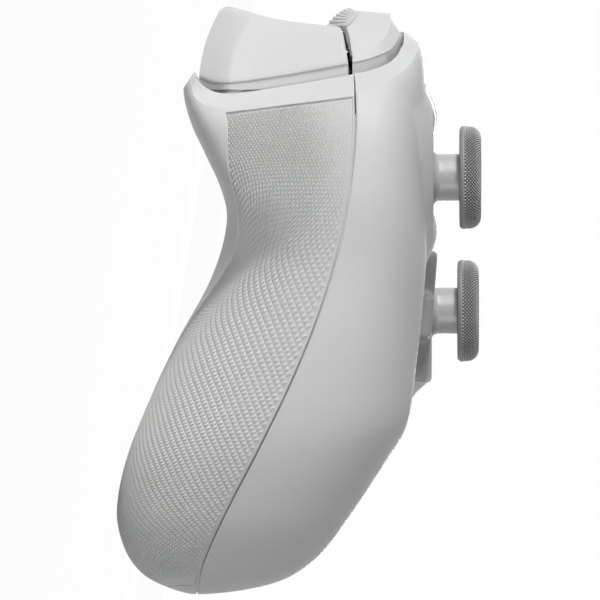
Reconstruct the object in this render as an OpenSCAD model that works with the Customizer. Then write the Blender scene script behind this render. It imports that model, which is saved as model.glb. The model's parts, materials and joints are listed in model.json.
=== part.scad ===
// Gamepad controller in millimetres: two shells, sticks, buttons, triggers and what drives them.
// Built face up with the front edge towards +Y, then laid down on its grips and front rim.

/* [Shells] */
// Overall width across the grips
body_w = 152; // [146:1:160]
// Height of the face above the lowest point of the grips
face_z = 53.9; // [52.5:0.1:56]
// Distance from the middle line to the grip tips
grip_reach = 51.4; // [50:0.1:56]
// Distance from the middle line to the front edge of the face
front_reach = 47.5; // [46.5:0.1:48.5]
// Distance from the middle line to the edge between the grips
crotch_reach = 23; // [21:0.1:24]
// Height of the flat back between the grips
back_z = 20.5; // [18:0.1:21]
// Shell wall
shell_wall = 2.2; // [1.6:0.1:2.6]
// Open line between the two shells
seam_gap = 0.2; // [0.1:0.05:0.3]
// Half width of the bridge between the two bumpers
bridge_half_w = 12.5; // [11:0.1:13.5]

/* [Sticks] */
// Outer stick, distance from the centre plane
stick_out_x = 40; // [38:0.1:42]
// Outer stick, distance forward of the middle line
stick_out_y = 21.5; // [20:0.1:22.5]
// Inner stick, distance from the centre plane
stick_in_x = 20; // [18:0.1:22]
// Inner stick, distance forward of the middle line
stick_in_y = -1.9; // [-3:0.1:0]
// Height of the tilting centre
stick_pivot_z = 44; // [43.5:0.1:44.5]
// Cap diameter
cap_d = 18.1; // [16:0.1:19]
// Cap thickness at the edge
cap_t = 3.8; // [3:0.1:4.5]
// Height of the cap top above the tilting centre
cap_rise = 19.7; // [19.2:0.1:21]
// Neck diameter
neck_d = 8.2; // [7:0.1:8.6]
// Radius of the dome under the neck
dome_r = 12.2; // [12:0.1:12.4]
// Dome wall
dome_wall = 1.2; // [0.8:0.1:1.4]
// Stem diameter
stem_d = 4; // [3:0.1:4.2]
// Press travel of the stick
stick_click = 0.6; // [0.3:0.1:0.65]
// Radius of the stick opening
stick_hole_r = 10.6; // [10.2:0.1:11]
// Top radius of the collar round a stick
collar_r = 12.6; // [12.2:0.1:13]
// Height of the collar top above the face
collar_rise = 1.4; // [0.8:0.1:1.6]

/* [Gimbals] */
// Width of the square housing
housing_w = 15.6; // [15.4:0.1:15.8]
// Outer radius of the gimbal ring
ring_r = 6; // [5.9:0.05:6.1]
// Wall of the gimbal ring
ring_wall = 1.3; // [1.1:0.05:1.4]
// Radius of the ring trunnions
ring_pin_r = 1.2; // [1:0.05:1.3]
// Radius of the block trunnions
block_pin_r = 1; // [0.8:0.05:1.1]
// Radius of the pivot block
block_r = 4.2; // [4:0.05:4.25]

/* [Pad and buttons] */
// Distance of the pad from the centre plane
pad_x = 20; // [19:0.1:21]
// Distance of the pad forward of the middle line
pad_y = -3; // [-4:0.1:-2]
// Pad width across two arms
pad_w = 23.2; // [21:0.1:23.6]
// Width of one pad arm
pad_arm_w = 7.5; // [6:0.1:8]
// Thickness of the pad at the arm ends
pad_t = 4; // [3:0.1:4.2]
// Lean of the pad towards the player, in degrees
pad_lean = 4.5; // [3:0.1:5]
// Face button diameter
button_d = 10.9; // [10:0.1:11.2]
// Distance of each face button from the middle of the four
button_spread = 9.9; // [9.6:0.1:10.2]
// Middle of the four face buttons, from the centre plane
cluster_x = 40; // [39:0.1:41]
// Middle of the four face buttons, forward of the middle line
cluster_y = 22.4; // [21.5:0.1:23]
// Height of the button tops above the face
button_rise = 2.5; // [1.6:0.1:3]
// Home button diameter
home_d = 11; // [10:0.1:11.4]
// Home button, forward of the middle line
home_y = 31.7; // [31:0.1:32.5]
// Width of the black ring round the home button
halo_w = 1.3; // [0.8:0.1:1.5]
// Length of the small buttons
small_l = 6.4; // [5:0.1:7]
// Width of the small buttons
small_w = 3.4; // [3:0.1:4]
// Clearance between a button and its opening
button_clear = 0.3; // [0.25:0.05:0.4]
// Press travel of the buttons
button_travel = 1.1; // [0.6:0.1:1.2]

/* [Triggers and bumpers] */
// Trigger pivot, forward of the middle line
trigger_y = 37; // [36.8:0.1:37.2]
// Trigger pivot, above the lowest point of the grips
trigger_z = 42.5; // [42.4:0.1:42.7]
// Radius of the trigger back about its pivot
trigger_r = 28.3; // [28:0.1:28.4]
// Trigger pin diameter
pin_d = 3; // [2.4:0.1:3.2]
// Trigger wall
trigger_wall = 2; // [1.6:0.1:2.4]
// Bumper hinge, distance from the centre plane
bumper_x = 16.5; // [16.4:0.1:16.8]
// Bumper hinge, forward of the middle line
bumper_y = 41; // [40.8:0.1:41.2]
// Radius of the bumper hinge stud
stud_r = 1.2; // [1:0.05:1.3]
// Running clearance of pins in their bores
run_clear = 0.05; // [0.03:0.01:0.08]

/* [Inside] */
// Height of the board top
board_z = 36.5; // [36.4:0.1:36.6]
// Board thickness
board_t = 1.6; // [1:0.1:1.8]
// Battery size across
battery_w = 50; // [40:1:52]
// Battery thickness
battery_t = 9.6; // [7:0.1:9.8]
// Motor can radius
motor_r = 6.2; // [5:0.1:6.6]
// Radius of the eccentric weight
weight_r = 9.5; // [8:0.1:10]
// Headset plug bore diameter
jack_bore_d = 3.6; // [3.5:0.05:3.7]
// Depth of the headset plug bore
jack_depth = 14; // [12:0.5:15]
// Screw thread diameter
screw_d = 2.5; // [2:0.1:2.6]

/* [Hidden] */
$fn = 48;

half_w = body_w / 2;
small = 0.01;
light_shell = [0.93, 0.93, 0.93];
mid_grey = [0.62, 0.62, 0.62];
dark_grey = [0.32, 0.32, 0.33];
black = [0.08, 0.08, 0.08];
steel = [0.75, 0.75, 0.77];
board_green = [0.12, 0.3, 0.2];

// Outlines of the body from the centre (station 0) to a grip tip (station 11)
outer_x = [0, 17, 34.5, 55.5, 65.8, 70.5, half_w - 3.6, half_w - 0.9, half_w, half_w - 2.6,
    half_w - 7.2, half_w - 9.5];
outer_y = [front_reach, front_reach - 0.5, front_reach - 2.3, front_reach - 6.7, 33.2, 20, 5, -11,
    -25, 13.9 - grip_reach, 4.8 - grip_reach, 0.4 - grip_reach];
inner_x = [0, 8, 14.5, 20, 25, 29.5, 33.5, 37, 40.5, 45, 49.2, 51];
inner_y = [-crotch_reach, -crotch_reach - 0.1, -crotch_reach - 0.5, -crotch_reach - 1.3,
    -crotch_reach - 2.8, -crotch_reach - 5.2, -31.5, -35.5, -40, 6.4 - grip_reach,
    1.9 - grip_reach, -grip_reach - 0.4];
// Squareness of each section, 2 is an ellipse
squareness = [5, 5, 4.5, 3.6, 3, 2.7, 2.5, 2.4, 2.3, 2.2, 2.1, 2];
// Squareness of the back below the triggers
bay_squareness = 8;
bay_blend_y = 6;
bay_blend_l = 22;
last = len(outer_x) - 1;
// Number of stations rounded off at each grip tip
tip_len = 2;

// Height of the seam, the face and the grip backs over the distance forward
seam_line = [[-grip_reach, 13.9], [-46.3, 14.9], [-37.9, 18.6], [-25.3, 25.1], [-12.6, 31.2],
    [0, 36.1], [12.6, 39.5], [29.5, 41.6], [front_reach, 41]];
face_line = [[-grip_reach - 0.6, 29], [-48, 33], [-41.3, 37.9], [-35, 42.3], [-28, 46.9],
    [-22.5, face_z - 3.7], [-15, face_z - 2.2], [7.4, face_z], [30, face_z],
    [38, face_z - 0.2], [45, face_z - 0.9], [front_reach, face_z - 2.4]];
back_line = [[-grip_reach - 0.6, 8], [-48, 3.2], [-41.3, 0.6], [-36.5, 0], [-28, 1.6],
    [-18.2, 5.4], [-7, 10.7], [4.2, 16.7], [14, 19.3], [19.6, 18.2], [25.3, 15.6],
    [30.9, 13], [36.5, 11.6], [front_reach, 11.5]];
// Where the flat back starts and stops giving way to the grips and trigger bays
back_from_x = 20;
back_to_x = 44;
// Middle of the rim round a trigger and bumper, as distance forward over height
mouth_line = [[11, 38.4], [13.5, 36.6], [18, 34.8], [23, 34.5], [32, 35.6], [41, 37.2],
    [47, 39.8], [49.5, 41.4], [51.2, 44], [52.4, 47], [53.2, 60]];

function limit(x) = min(1, max(0, x));
function smooth(x) = let (s = limit(x)) s * s * (3 - 2 * s);
function mix(a, b, s) = a * (1 - s) + b * s;
function find(x, line, i = 0) = (i >= len(line) - 2 || x < line[i + 1][0]) ? i : find(x, line, i + 1);
function slope(line, i) = let (a = max(0, i - 1), b = min(len(line) - 1, i + 1))
    (line[b][1] - line[a][1]) / (line[b][0] - line[a][0]);
// Smooth curve through the points of a line
function curve(x, line) = let (i = find(x, line), h = line[i + 1][0] - line[i][0],
    s = limit((x - line[i][0]) / h), s2 = s * s, s3 = s2 * s)
    line[i][1] * (2 * s3 - 3 * s2 + 1) + slope(line, i) * h * (s3 - 2 * s2 + s)
    + line[i + 1][1] * (3 * s2 - 2 * s3) + slope(line, i + 1) * h * (s3 - s2);
function numbered(values) = [for (i = [0:len(values) - 1]) [i, values[i]]];
// Outline value at a station, mirrored through the centre plane
function at(values, s) = curve(s, numbered(values));
function tip(s) = s <= last - tip_len ? 1 : sqrt(limit(1 - pow((s - last + tip_len) / tip_len, 2)));
function back_at(x, y) = mix(back_z, curve(y, back_line),
    smooth((abs(x) - back_from_x) / (back_to_x - back_from_x)));

// A point of the body: s runs from tip to tip, c across the section, up is 1 for the face half
function body_point(s, c, up) = let (q = abs(s), n = at(squareness, q), k = tip(q),
    ox = at(outer_x, q), oy = at(outer_y, q), ix = at(inner_x, q), iy = at(inner_y, q),
    x = (ox + ix + (ox - ix) * c * k) / 2, y = (oy + iy + (oy - iy) * c * k) / 2,
    e = up > 0 ? n : mix(n, bay_squareness, smooth((y - bay_blend_y) / bay_blend_l)),
    rise = k * pow(max(0, 1 - pow(abs(c), e)), 1 / e), z = curve(y, seam_line))
    [s < 0 ? -x : x, y, up > 0 ? z + (curve(y, face_line) - z) * rise : z - (z - back_at(x, y)) * rise];
function unit(v) = v / norm(v);
function across(p) = sin(90 * p);
// Inward offset of a body point by a wall, level at the seam
function inner_point(s, p, up, wall) = let (e = 0.02, r = min(last - 0.02, max(0.02 - last, s)),
    c = across(p), here = body_point(r, c, up),
    along = body_point(r + e / 2, c, up) - body_point(r - e / 2, c, up),
    side = abs(p) > 0.99 ? [0, 0, 1] : body_point(r, across(p + e), up) - body_point(r, across(p - e), up),
    n = unit(cross(along, side)),
    mid = (body_point(r, -1, up) + body_point(r, 1, up)) / 2,
    out = n * (here - mid) < 0 ? -n : n)
    abs(s) > last - 0.02 ? body_point(s, 0, up) + [0, wall, 0] : here - out * wall;

// Stations used for the shell, closer together at the tips
body_steps = 18;
tip_steps = 6;
cross_steps = 16;
half_rows = concat([for (i = [0:body_steps - 1]) i * (last - tip_len) / body_steps],
    [for (i = [0:tip_steps]) last - tip_len + tip_len * sin(90 * i / tip_steps)]);
rows = concat([for (i = [len(half_rows) - 1:-1:1]) -half_rows[i]], half_rows);
row_count = len(rows);

// Closed skin between the body surface moved in by a first and a second wall
module half_shell(up, first, second) {
    m = cross_steps;
    lift = [0, 0, up * seam_gap / 2];
    place = function (i, p, wall) lift
        + (wall > 0 ? inner_point(rows[i], p, up, wall) : body_point(rows[i], across(p), up));
    grid = function (wall) [for (i = [1:row_count - 2]) for (j = [0:m]) place(i, 2 * j / m - 1, wall)];
    pole = function (i, wall) place(i, 0, wall);
    count = (row_count - 2) * (m + 1);
    points = concat(grid(first), [pole(0, first), pole(row_count - 1, first)],
        grid(second), [pole(0, second), pole(row_count - 1, second)]);
    step = count + 2;
    id = function (i, j, skin) skin * step + i * (m + 1) + j;
    rows_in = row_count - 2;
    skin = function (k) concat(
        [for (i = [0:rows_in - 2]) for (j = [0:m - 1]) each i < rows_in / 2 - 1 ? [
            [id(i, j, k), id(i, j + 1, k), id(i + 1, j, k)],
            [id(i + 1, j, k), id(i, j + 1, k), id(i + 1, j + 1, k)]] : [
            [id(i, j, k), id(i, j + 1, k), id(i + 1, j + 1, k)],
            [id(i, j, k), id(i + 1, j + 1, k), id(i + 1, j, k)]]],
        [for (j = [0:m - 1]) [k * step + count, id(0, j + 1, k), id(0, j, k)]],
        [for (j = [0:m - 1]) [k * step + count + 1, id(rows_in - 1, j, k), id(rows_in - 1, j + 1, k)]]);
    turned = function (faces) [for (f = faces) [f[0], f[2], f[1]]];
    edge = function (j) concat([count], [for (i = [0:rows_in - 1]) id(i, j, 0)], [count + 1]);
    strip = function (line) [for (i = [0:len(line) - 2]) each [
        [line[i], line[i + 1], line[i] + step], [line[i + 1], line[i + 1] + step, line[i] + step]]];
    faces = concat(skin(0), turned(skin(1)), strip(edge(0)), turned(strip(edge(m))));
    polyhedron(points, up > 0 ? faces : turned(faces), convexity = 8);
}

// Filled body moved in by a wall
module core(up, wall) {
    m = cross_steps;
    rows_in = row_count - 2;
    count = rows_in * (m + 1);
    points = concat(
        [for (i = [1:row_count - 2]) for (j = [0:m]) inner_point(rows[i], 2 * j / m - 1, up, wall)],
        [inner_point(rows[0], 0, up, wall), inner_point(rows[row_count - 1], 0, up, wall)]);
    id = function (i, j) i * (m + 1) + j;
    skin = concat(
        [for (i = [0:rows_in - 2]) for (j = [0:m - 1]) each [
            [id(i, j), id(i, j + 1), id(i + 1, j)], [id(i + 1, j), id(i, j + 1), id(i + 1, j + 1)]]],
        [for (j = [0:m - 1]) [count, id(0, j + 1), id(0, j)]],
        [for (j = [0:m - 1]) [count + 1, id(rows_in - 1, j), id(rows_in - 1, j + 1)]],
        [for (i = [0:rows_in - 2]) each [
            [id(i, 0), id(i + 1, 0), id(i, m)], [id(i + 1, 0), id(i + 1, m), id(i, m)]]],
        [[count, id(0, 0), id(0, m)], [count + 1, id(rows_in - 1, m), id(rows_in - 1, 0)]]);
    polyhedron(points, up > 0 ? skin : [for (f = skin) [f[0], f[2], f[1]]], convexity = 8);
}

// Side profile of the trigger as height and distance forward, about its pivot at the back
trigger_tip_y = front_reach + 4;
trigger_base_y = 36.8;
trigger_swing = 15;
bay_from_y = 28.9;
// Slant of the rim on the flank, through the rim line at this distance from the centre plane
rim_slope = 0.45;
rim_x = 59;
rim_low_z = 11.2;
rim_top_z = 53.2;
lip_z = 40.4;
trigger_in_x = 30.5;
trigger_out_x = 55;
trigger_top_z = 40.4;
ear_w = 2;
ear_in_x = 33;
ear_out_x = 46;
ear_r = 3.4;
ear_gap = 0.4;
hub_in_x = 40.6;
hub_out_x = 45.7;
web_w = 1.9;
web_z = 37;
hub_r = 2.6;
mouth_gap = 0.45;
lip_x = trigger_out_x + mouth_gap;
arc_from = -asin((trigger_y - trigger_base_y) / trigger_r);
arc_to = asin((trigger_tip_y - 1.6 - trigger_y) / trigger_r);
trigger_side = concat(
    [for (i = [0:8]) let (a = mix(arc_from, arc_to, i / 8))
        [trigger_y + trigger_r * sin(a), trigger_z - trigger_r * cos(a)]],
    [[trigger_tip_y - 0.5, 18.1], [trigger_tip_y, 19.3], [trigger_tip_y - 0.4, 21.2]],
    [for (i = [1:6]) let (s = i / 6) [trigger_tip_y - 0.4 - 3.3 * (1 - pow(1 - s, 2)), mix(21.2, 39, s)]],
    [[46.9, 39.6], [41.2, trigger_top_z], [39.4, trigger_top_z], [trigger_base_y, 38]]);
trigger_plan = [[trigger_in_x, trigger_base_y - 1], [trigger_in_x, 44], [trigger_in_x + 1.2, 49],
    [trigger_in_x + 3.5, trigger_tip_y + 1], [trigger_out_x - 9, trigger_tip_y + 1],
    [trigger_out_x - 5.5, 49.4], [trigger_out_x - 2.4, 45.5], [trigger_out_x - 0.8, 42],
    [trigger_out_x, 39], [trigger_out_x, trigger_base_y - 1]];

// Hollow of the trigger, open towards the body
trigger_hollow = [[20, 16.6], [trigger_base_y, 16.6], [47.5, 19], [48.4, 20.5], [45.4, 38], [40, 38.2],
    [20, 38.2]];
hollow_plan = concat([[trigger_in_x, 10]], [for (i = [1:len(trigger_plan) - 2]) trigger_plan[i]],
    [[trigger_out_x, 10]]);

// Skirt of the trigger's outer wall, reaching in behind the rim
trigger_skirt = [[37.4, 15.6], [35.6, 17.4], [34, 21], [33.6, 30], [34.6, 37], [37.4, 38.6]];

// Side and plan profiles of the bumper
bumper_low_z = 41.1;
bumper_top_z = 49.3;
bumper_tip_y = front_reach + 3.4;
bumper_swing = 2.5;
bumper_side = [[40.2, bumper_low_z], [48.2, bumper_low_z], [50.2, 41.8], [bumper_tip_y, 43.4],
    [bumper_tip_y - 0.3, 47.6], [48, bumper_top_z], [45.2, bumper_top_z], [43.4, 48.4]];
bumper_hub_r = 2.4;
bumper_plan = [[bumper_x - bumper_hub_r, bumper_tip_y], [30, bumper_tip_y - 0.1], [38, bumper_tip_y - 1.1],
    [45, 47.6], [50, 45], [53.6, 42], [55, 40], [52.8, 40.2], [50, 42.6], [44, 42.6], [36, 42.2],
    [bumper_x + 4, 42], [bumper_x + bumper_hub_r, bumper_y], [bumper_x - bumper_hub_r, bumper_y]];

// Lean of the body when it lies on its grips and the front rim of the back shell
rim_y = 38;
rim_z = curve(rim_y, back_line);
rest_tilt = max([for (y = [-45:0.5:-20]) atan((rim_z - curve(y, back_line)) / (rim_y - y))]);
low_z = rim_z * cos(rest_tilt) - rim_y * sin(rest_tilt);
mid_y = ((bumper_tip_y - 0.3) * cos(rest_tilt) + 47.6 * sin(rest_tilt)
    - grip_reach * cos(rest_tilt) + 13.9 * sin(rest_tilt)) / 2;
module rest_pose() {
    translate([0, -mid_y, -low_z]) rotate([-rest_tilt, 0, 0]) children();
}

// Posts for the shell screws
post_grip = [60, -37.5];
post_mid = [44, -10];
posts = [post_grip, post_mid];
post_r = 3;
// Height above the seam where a post of the face meets one of the back
post_meet = 2;
post_gap = 0.2;
// Bosses for the frame and board screws
boss_r = 2.4;
boss_root_r = 3;
boss_reach = 30;
boss_gap = 0.05;
thread_clear = 0.1;
shank_clear = 0.3;
thread_depth = 6;
shell_screw_l = 16;
frame_screw_l = 9;
board_screw_l = 8;
screw_head_r = 2.5;
screw_head_t = 1.8;
screw_seat = 8;
seat_gap = 0.02;
// Longer than any hole needs to be
through = 40;
frame_screw = [24, 30.25];
switch_w = 4.6;
switch_t = 3.8;
switch_floor = 1.2;
pin_r = 1.2;
flange_t = 1.2;
travel_room = 0.35;
small_places = [[-11.5, 22.5], [11.5, 22.5], [0, 15.5]];
cluster = [[cluster_x, cluster_y + button_spread], [cluster_x, cluster_y - button_spread],
    [cluster_x + button_spread, cluster_y], [cluster_x - button_spread, cluster_y]];
pad_top_z = 55.4;
pad_well_r = 14.2;
pad_floor_z = 49.5;
pad_floor_t = 1.5;
jack_z = board_z - board_t - 3.3;
jack_collar_r = 3;
inlet_z = board_z + 1.7;
motor_x = 56;
motor_z = 22;
motor_front_y = -5;
motor_l = 14;
weight_t = 8;
shaft_r = 1;
frame_low_z = 30;
frame_top_z = 34.4;
frame_y = 28.5;
frame_d = 3.5;
frame_w = 100;
shelf_z = 39.2;
shelf_t = 1.4;
shelf_r = 2.6;
stud_top_z = 48;
inlet_w = 9;
inlet_h = 3.3;
inlet_wall = 0.35;
inlet_l = 8;
tongue_w = 18;
tongue_l = 17.5;
battery_y = 8.5;
battery_l = 31;
halo_d = home_d + 2 * halo_w;

module both_sides() {
    children();
    mirror([1, 0, 0]) children();
}

// Rod along X, centred on the origin
module rod_x(r, l) {
    rotate([0, 90, 0]) cylinder(r = r, h = l, center = true);
}

module rod_y(r, l) {
    rotate([90, 0, 0]) cylinder(r = r, h = l, center = true);
}

// Straight slot shape with round ends along X
module slot(l, w, h) {
    for (side = [-1, 1]) translate([side * (l - w) / 2, 0, 0]) cylinder(d = w, h = h);
    translate([(w - l) / 2, -w / 2, 0]) cube([l - w, w, h]);
}

// Extrudes a side profile of [forward, height] points along X
module side_extrude(profile, from_x, to_x) {
    translate([from_x, 0, 0]) rotate([90, 0, 90]) linear_extrude(to_x - from_x) polygon(profile);
}

// Everything forward of the rim line between two heights and two distances from the centre plane
module rim_slab(low, top, from_x, to_x) {
    steps = ceil((top - low) / 1.6);
    line = [for (i = [0:steps]) let (z = mix(low, top, i / steps)) [curve(z, mouth_line), z]];
    side_extrude(concat(line, [[90, top], [90, low]]), from_x, to_x);
}

// Opening for one trigger and bumper, with a slanted rim on the flank
module mouth() {
    multmatrix([[1, 0, 0, 0], [-rim_slope, 1, 0, rim_slope * rim_x], [0, 0, 1, 0]])
        rim_slab(rim_low_z, rim_top_z, trigger_in_x, half_w);
    rim_slab(rim_low_z, trigger_z - trigger_r + mouth_gap, trigger_in_x - mouth_gap, half_w);
    rim_slab(lip_z, bumper_top_z + mouth_gap, bridge_half_w, lip_x);
    rim_slab(bumper_top_z + mouth_gap - small, rim_top_z, bridge_half_w, half_w);
}

// Lip that fills the flank beside a trigger and bumper
module rim_lip() {
    translate([lip_x, bay_from_y, 0]) cube([half_w - lip_x, front_reach - bay_from_y, face_z]);
}

// Room that the trigger swings through
module trigger_bay() {
    intersection() {
        translate([(trigger_in_x + trigger_out_x) / 2, trigger_y, trigger_z])
            rod_x(trigger_r + mouth_gap, trigger_out_x - trigger_in_x + 2 * mouth_gap);
        translate([0, bay_from_y, 0]) cube([90, 30, 41]);
    }
}

module stick_collar(x, y) {
    translate([x, y, face_z - 3]) hull() {
        cylinder(r = collar_r + 3, h = small, $fn = 48);
        translate([0, 0, 2.2]) cylinder(r = collar_r + 1.1, h = small, $fn = 48);
        translate([0, 0, collar_rise + 3]) cylinder(r = collar_r, h = small, $fn = 48);
    }
}

module stick_opening(x, y) {
    translate([x, y, stick_pivot_z]) cylinder(r = stick_hole_r, h = 30);
    translate([x, y, face_z - 1]) cylinder(r1 = stick_hole_r, r2 = collar_r - 0.6, h = collar_rise + 1.02);
    translate([x, y, stick_pivot_z]) sphere(r = dome_r + 0.5);
}

module pad_place() {
    translate([-pad_x, pad_y, 0]) children();
}

// Tapered boss from a height up into the face
module face_boss(p, low, r, root_r) {
    translate([p[0], p[1], low]) hull() {
        cylinder(r = r, h = small, $fn = 24);
        translate([0, 0, boss_reach]) cylinder(r = root_r, h = small, $fn = 24);
    }
}

// Hole for the thread of a screw, up to a height
module thread_hole(p, top) {
    translate([p[0], p[1], 0]) cylinder(d = screw_d + thread_clear, h = top);
}

// Loose hole for the shank of a screw
module shank_hole(p) {
    translate([p[0], p[1], 0]) cylinder(d = screw_d + shank_clear, h = through);
}

// Floor and wall of the round well under the pad
module pad_well() {
    outer_r = pad_well_r + pad_floor_t;
    translate([0, 0, pad_floor_z]) {
        rotate([pad_lean, 0, 0]) translate([0, 0, -pad_floor_t]) cylinder(r = outer_r, h = 3 * pad_floor_t);
        translate([0, 0, pad_floor_t]) cylinder(r = outer_r, h = 8);
    }
}

module front_shell() {
    button_hole_d = button_d + 2 * button_clear;
    small_hole_l = small_l + 2 * button_clear;
    small_hole_w = small_w + 2 * button_clear;
    color(light_shell) rest_pose() difference() {
        union() {
            half_shell(1, 0, shell_wall);
            intersection() {
                core(1, shell_wall / 2);
                union() {
                    both_sides() for (p = posts)
                        face_boss(p, curve(p[1], seam_line) + post_meet, post_r, post_r + 1.5);
                    both_sides() face_boss(frame_screw, frame_top_z + boss_gap, boss_r, boss_root_r);
                    for (p = board_screw_places) face_boss(p, board_z + boss_gap, boss_r, boss_root_r);
                    pad_place() pad_well();
                    both_sides() rim_lip();
                }
            }
            stick_collar(-stick_out_x, stick_out_y);
            stick_collar(stick_in_x, stick_in_y);
        }
        stick_opening(-stick_out_x, stick_out_y);
        stick_opening(stick_in_x, stick_in_y);
        pad_place() translate([0, 0, pad_floor_z]) rotate([pad_lean, 0, 0])
            cylinder(r = pad_well_r, h = through);
        pad_place() translate([0, 0, board_z]) cylinder(r = block_r + 1, h = through);
        for (p = cluster) translate([p[0], p[1], board_z]) cylinder(d = button_hole_d, h = through);
        translate([0, home_y, board_z]) cylinder(d = halo_d + thread_clear, h = through);
        for (p = small_places) translate([p[0], p[1], board_z]) slot(small_hole_l, small_hole_w, through);
        both_sides() mouth();
        both_sides() for (p = posts) thread_hole(p, curve(p[1], seam_line) + 10);
        both_sides() thread_hole(frame_screw, frame_top_z + thread_depth);
        for (p = board_screw_places) thread_hole(p, board_z + thread_depth);
        translate([0, -crotch_reach, jack_z]) rod_y(jack_collar_r + 0.15, 12);
    }
}

// Tapered post from the back up to a height
module back_post(p, top) {
    translate([p[0], p[1], 0]) hull() {
        cylinder(r = post_r + 3, h = small, $fn = 24);
        translate([0, 0, top]) cylinder(r = post_r, h = small, $fn = 24);
    }
}

// Upright rib that narrows from its foot to its top
module back_rib(foot_w, depth, top_w, height) {
    translate([0, -depth / 2, 0]) hull() {
        translate([-foot_w / 2, 0, 0]) cube([foot_w, depth, small]);
        translate([-top_w / 2, 0, height]) cube([top_w, depth, small]);
    }
}

module back_shell() {
    color(light_shell) rest_pose() difference() {
        union() {
            half_shell(-1, 0, shell_wall);
            intersection() {
                core(-1, shell_wall / 2);
                union() {
                    both_sides() for (p = posts)
                        back_post(p, curve(p[1], seam_line) + post_meet - post_gap);
                    both_sides() for (y = [-3, 3 - motor_l])
                        translate([motor_x, motor_front_y + y, 0]) back_rib(12, 2, 8, motor_z - 2);
                    both_sides() translate([battery_w / 2 + 1.2, battery_y, back_z])
                        back_rib(1.6, 18, 1.2, 8);
                    both_sides() rim_lip();
                }
            }
        }
        both_sides() mouth();
        both_sides() trigger_bay();
        both_sides() for (p = posts) translate([p[0], p[1], -1]) {
            cylinder(d = screw_d + shank_clear, h = 2 * through);
            cylinder(r = screw_head_r + post_gap, h = curve(p[1], seam_line) - screw_seat + 1);
        }
        both_sides() translate([motor_x, motor_front_y - motor_l / 2, motor_z])
            rod_y(motor_r + boss_gap, motor_l + 2);
        translate([-inlet_w / 2 - 0.3, 30, inlet_z - inlet_h / 2 - 0.35])
            cube([inlet_w + 0.6, 30, inlet_h + 0.7]);
        translate([-tongue_w / 2 - 0.6, board_y + board_d, board_z - board_t - 0.2])
            cube([tongue_w + 1.2, tongue_l + 0.5, board_t + 0.4]);
    }
}

// Ear for a trigger pin, as a side profile from the bar up to the pin
ear_side = [[frame_y, frame_low_z], [frame_y + frame_d, frame_low_z], [trigger_y + 2.6, trigger_z - 2.2],
    [trigger_y - 2.6, trigger_z + 2.2], [frame_y, frame_top_z]];
module inner_frame() {
    color(black) rest_pose() difference() {
        union() {
            translate([-frame_w / 2, frame_y, frame_low_z])
                cube([frame_w, frame_d, frame_top_z - frame_low_z]);
            both_sides() for (x = [ear_in_x, ear_out_x]) {
                translate([x + ear_w / 2, trigger_y, trigger_z]) rod_x(ear_r, ear_w);
                side_extrude(ear_side, x, x + ear_w);
            }
            both_sides() translate([bumper_x - shelf_r, frame_y, frame_low_z])
                cube([2 * shelf_r, frame_d, shelf_z + shelf_t - frame_low_z]);
            both_sides() translate([bumper_x - shelf_r, frame_y, shelf_z])
                cube([2 * shelf_r, bumper_y - frame_y, shelf_t]);
            both_sides() translate([bumper_x, bumper_y, shelf_z]) cylinder(r = shelf_r, h = shelf_t);
            both_sides() translate([bumper_x, bumper_y, shelf_z])
                cylinder(r = stud_r, h = stud_top_z - shelf_z);
        }
        both_sides() translate([(ear_in_x + ear_out_x) / 2, trigger_y, trigger_z])
            rod_x(pin_d / 2, through);
        both_sides() shank_hole(frame_screw);
    }
}

board_w = 110;
board_y = -4;
board_d = 31;
board_tail_w = 72;
board_tail_d = 11;
board_screw_places = [[4 - board_w / 2, 3], [board_w / 2 - 4, 3], [-8, -12.5], [8, -12.5]];
module main_board() {
    color(board_green) rest_pose() difference() {
        translate([0, 0, board_z - board_t]) linear_extrude(board_t) {
            translate([-board_w / 2, board_y]) square([board_w, board_d]);
            translate([-board_tail_w / 2, board_y - board_tail_d]) square([board_tail_w, board_tail_d + 1]);
            translate([-tongue_w / 2, board_y + board_d - 1]) square([tongue_w, tongue_l + 1]);
            translate([cluster_x - switch_w / 2 - 1, board_y])
                square([switch_w + 2, cluster_y + button_spread + switch_w / 2 + 0.7 - board_y]);
        }
        for (p = board_screw_places) shank_hole(p);
    }
}

module battery_pack() {
    flat = battery_l - battery_t;
    color(dark_grey) rest_pose() translate([0, battery_y, back_z + shell_wall + 0.15]) {
        translate([-battery_w / 2, -flat / 2, 0]) cube([battery_w, flat, battery_t]);
        for (side = [-1, 1]) translate([0, side * flat / 2, battery_t / 2]) rod_x(battery_t / 2, battery_w);
    }
}

// Receptacle for a cable plug, open to the front
module cable_inlet() {
    mouth_y = front_reach - 0.4;
    color(steel) rest_pose() translate([0, mouth_y, inlet_z]) difference() {
        rotate([90, 0, 0]) slot(inlet_w, inlet_h, inlet_l);
        difference() {
            translate([0, 1, 0]) rotate([90, 0, 0])
                slot(inlet_w - 2 * inlet_wall, inlet_h - 2 * inlet_wall, inlet_l - 0.5);
            translate([-3.3, 1 - inlet_l, -inlet_wall]) cube([6.6, inlet_l - 2, 2 * inlet_wall]);
        }
    }
}

module headset_jack() {
    mouth_y = -crotch_reach + 0.2;
    color(black) rest_pose() difference() {
        union() {
            translate([-3.5, mouth_y + 2.6, jack_z - 3]) cube([7, jack_depth - 1, 6.3]);
            translate([0, mouth_y + 2, jack_z]) rod_y(jack_collar_r, 4);
        }
        translate([0, mouth_y + jack_depth / 2 - 0.5, jack_z]) rod_y(jack_bore_d / 2, jack_depth + 1);
    }
}

// Screw with its head down and its tip up
module screw(l) {
    cylinder(d = screw_d, h = l);
    difference() {
        cylinder(r = screw_head_r, h = screw_head_t);
        translate([0, 0, -small]) cylinder(r = 1.1, h = 1, $fn = 6);
    }
}

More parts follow.
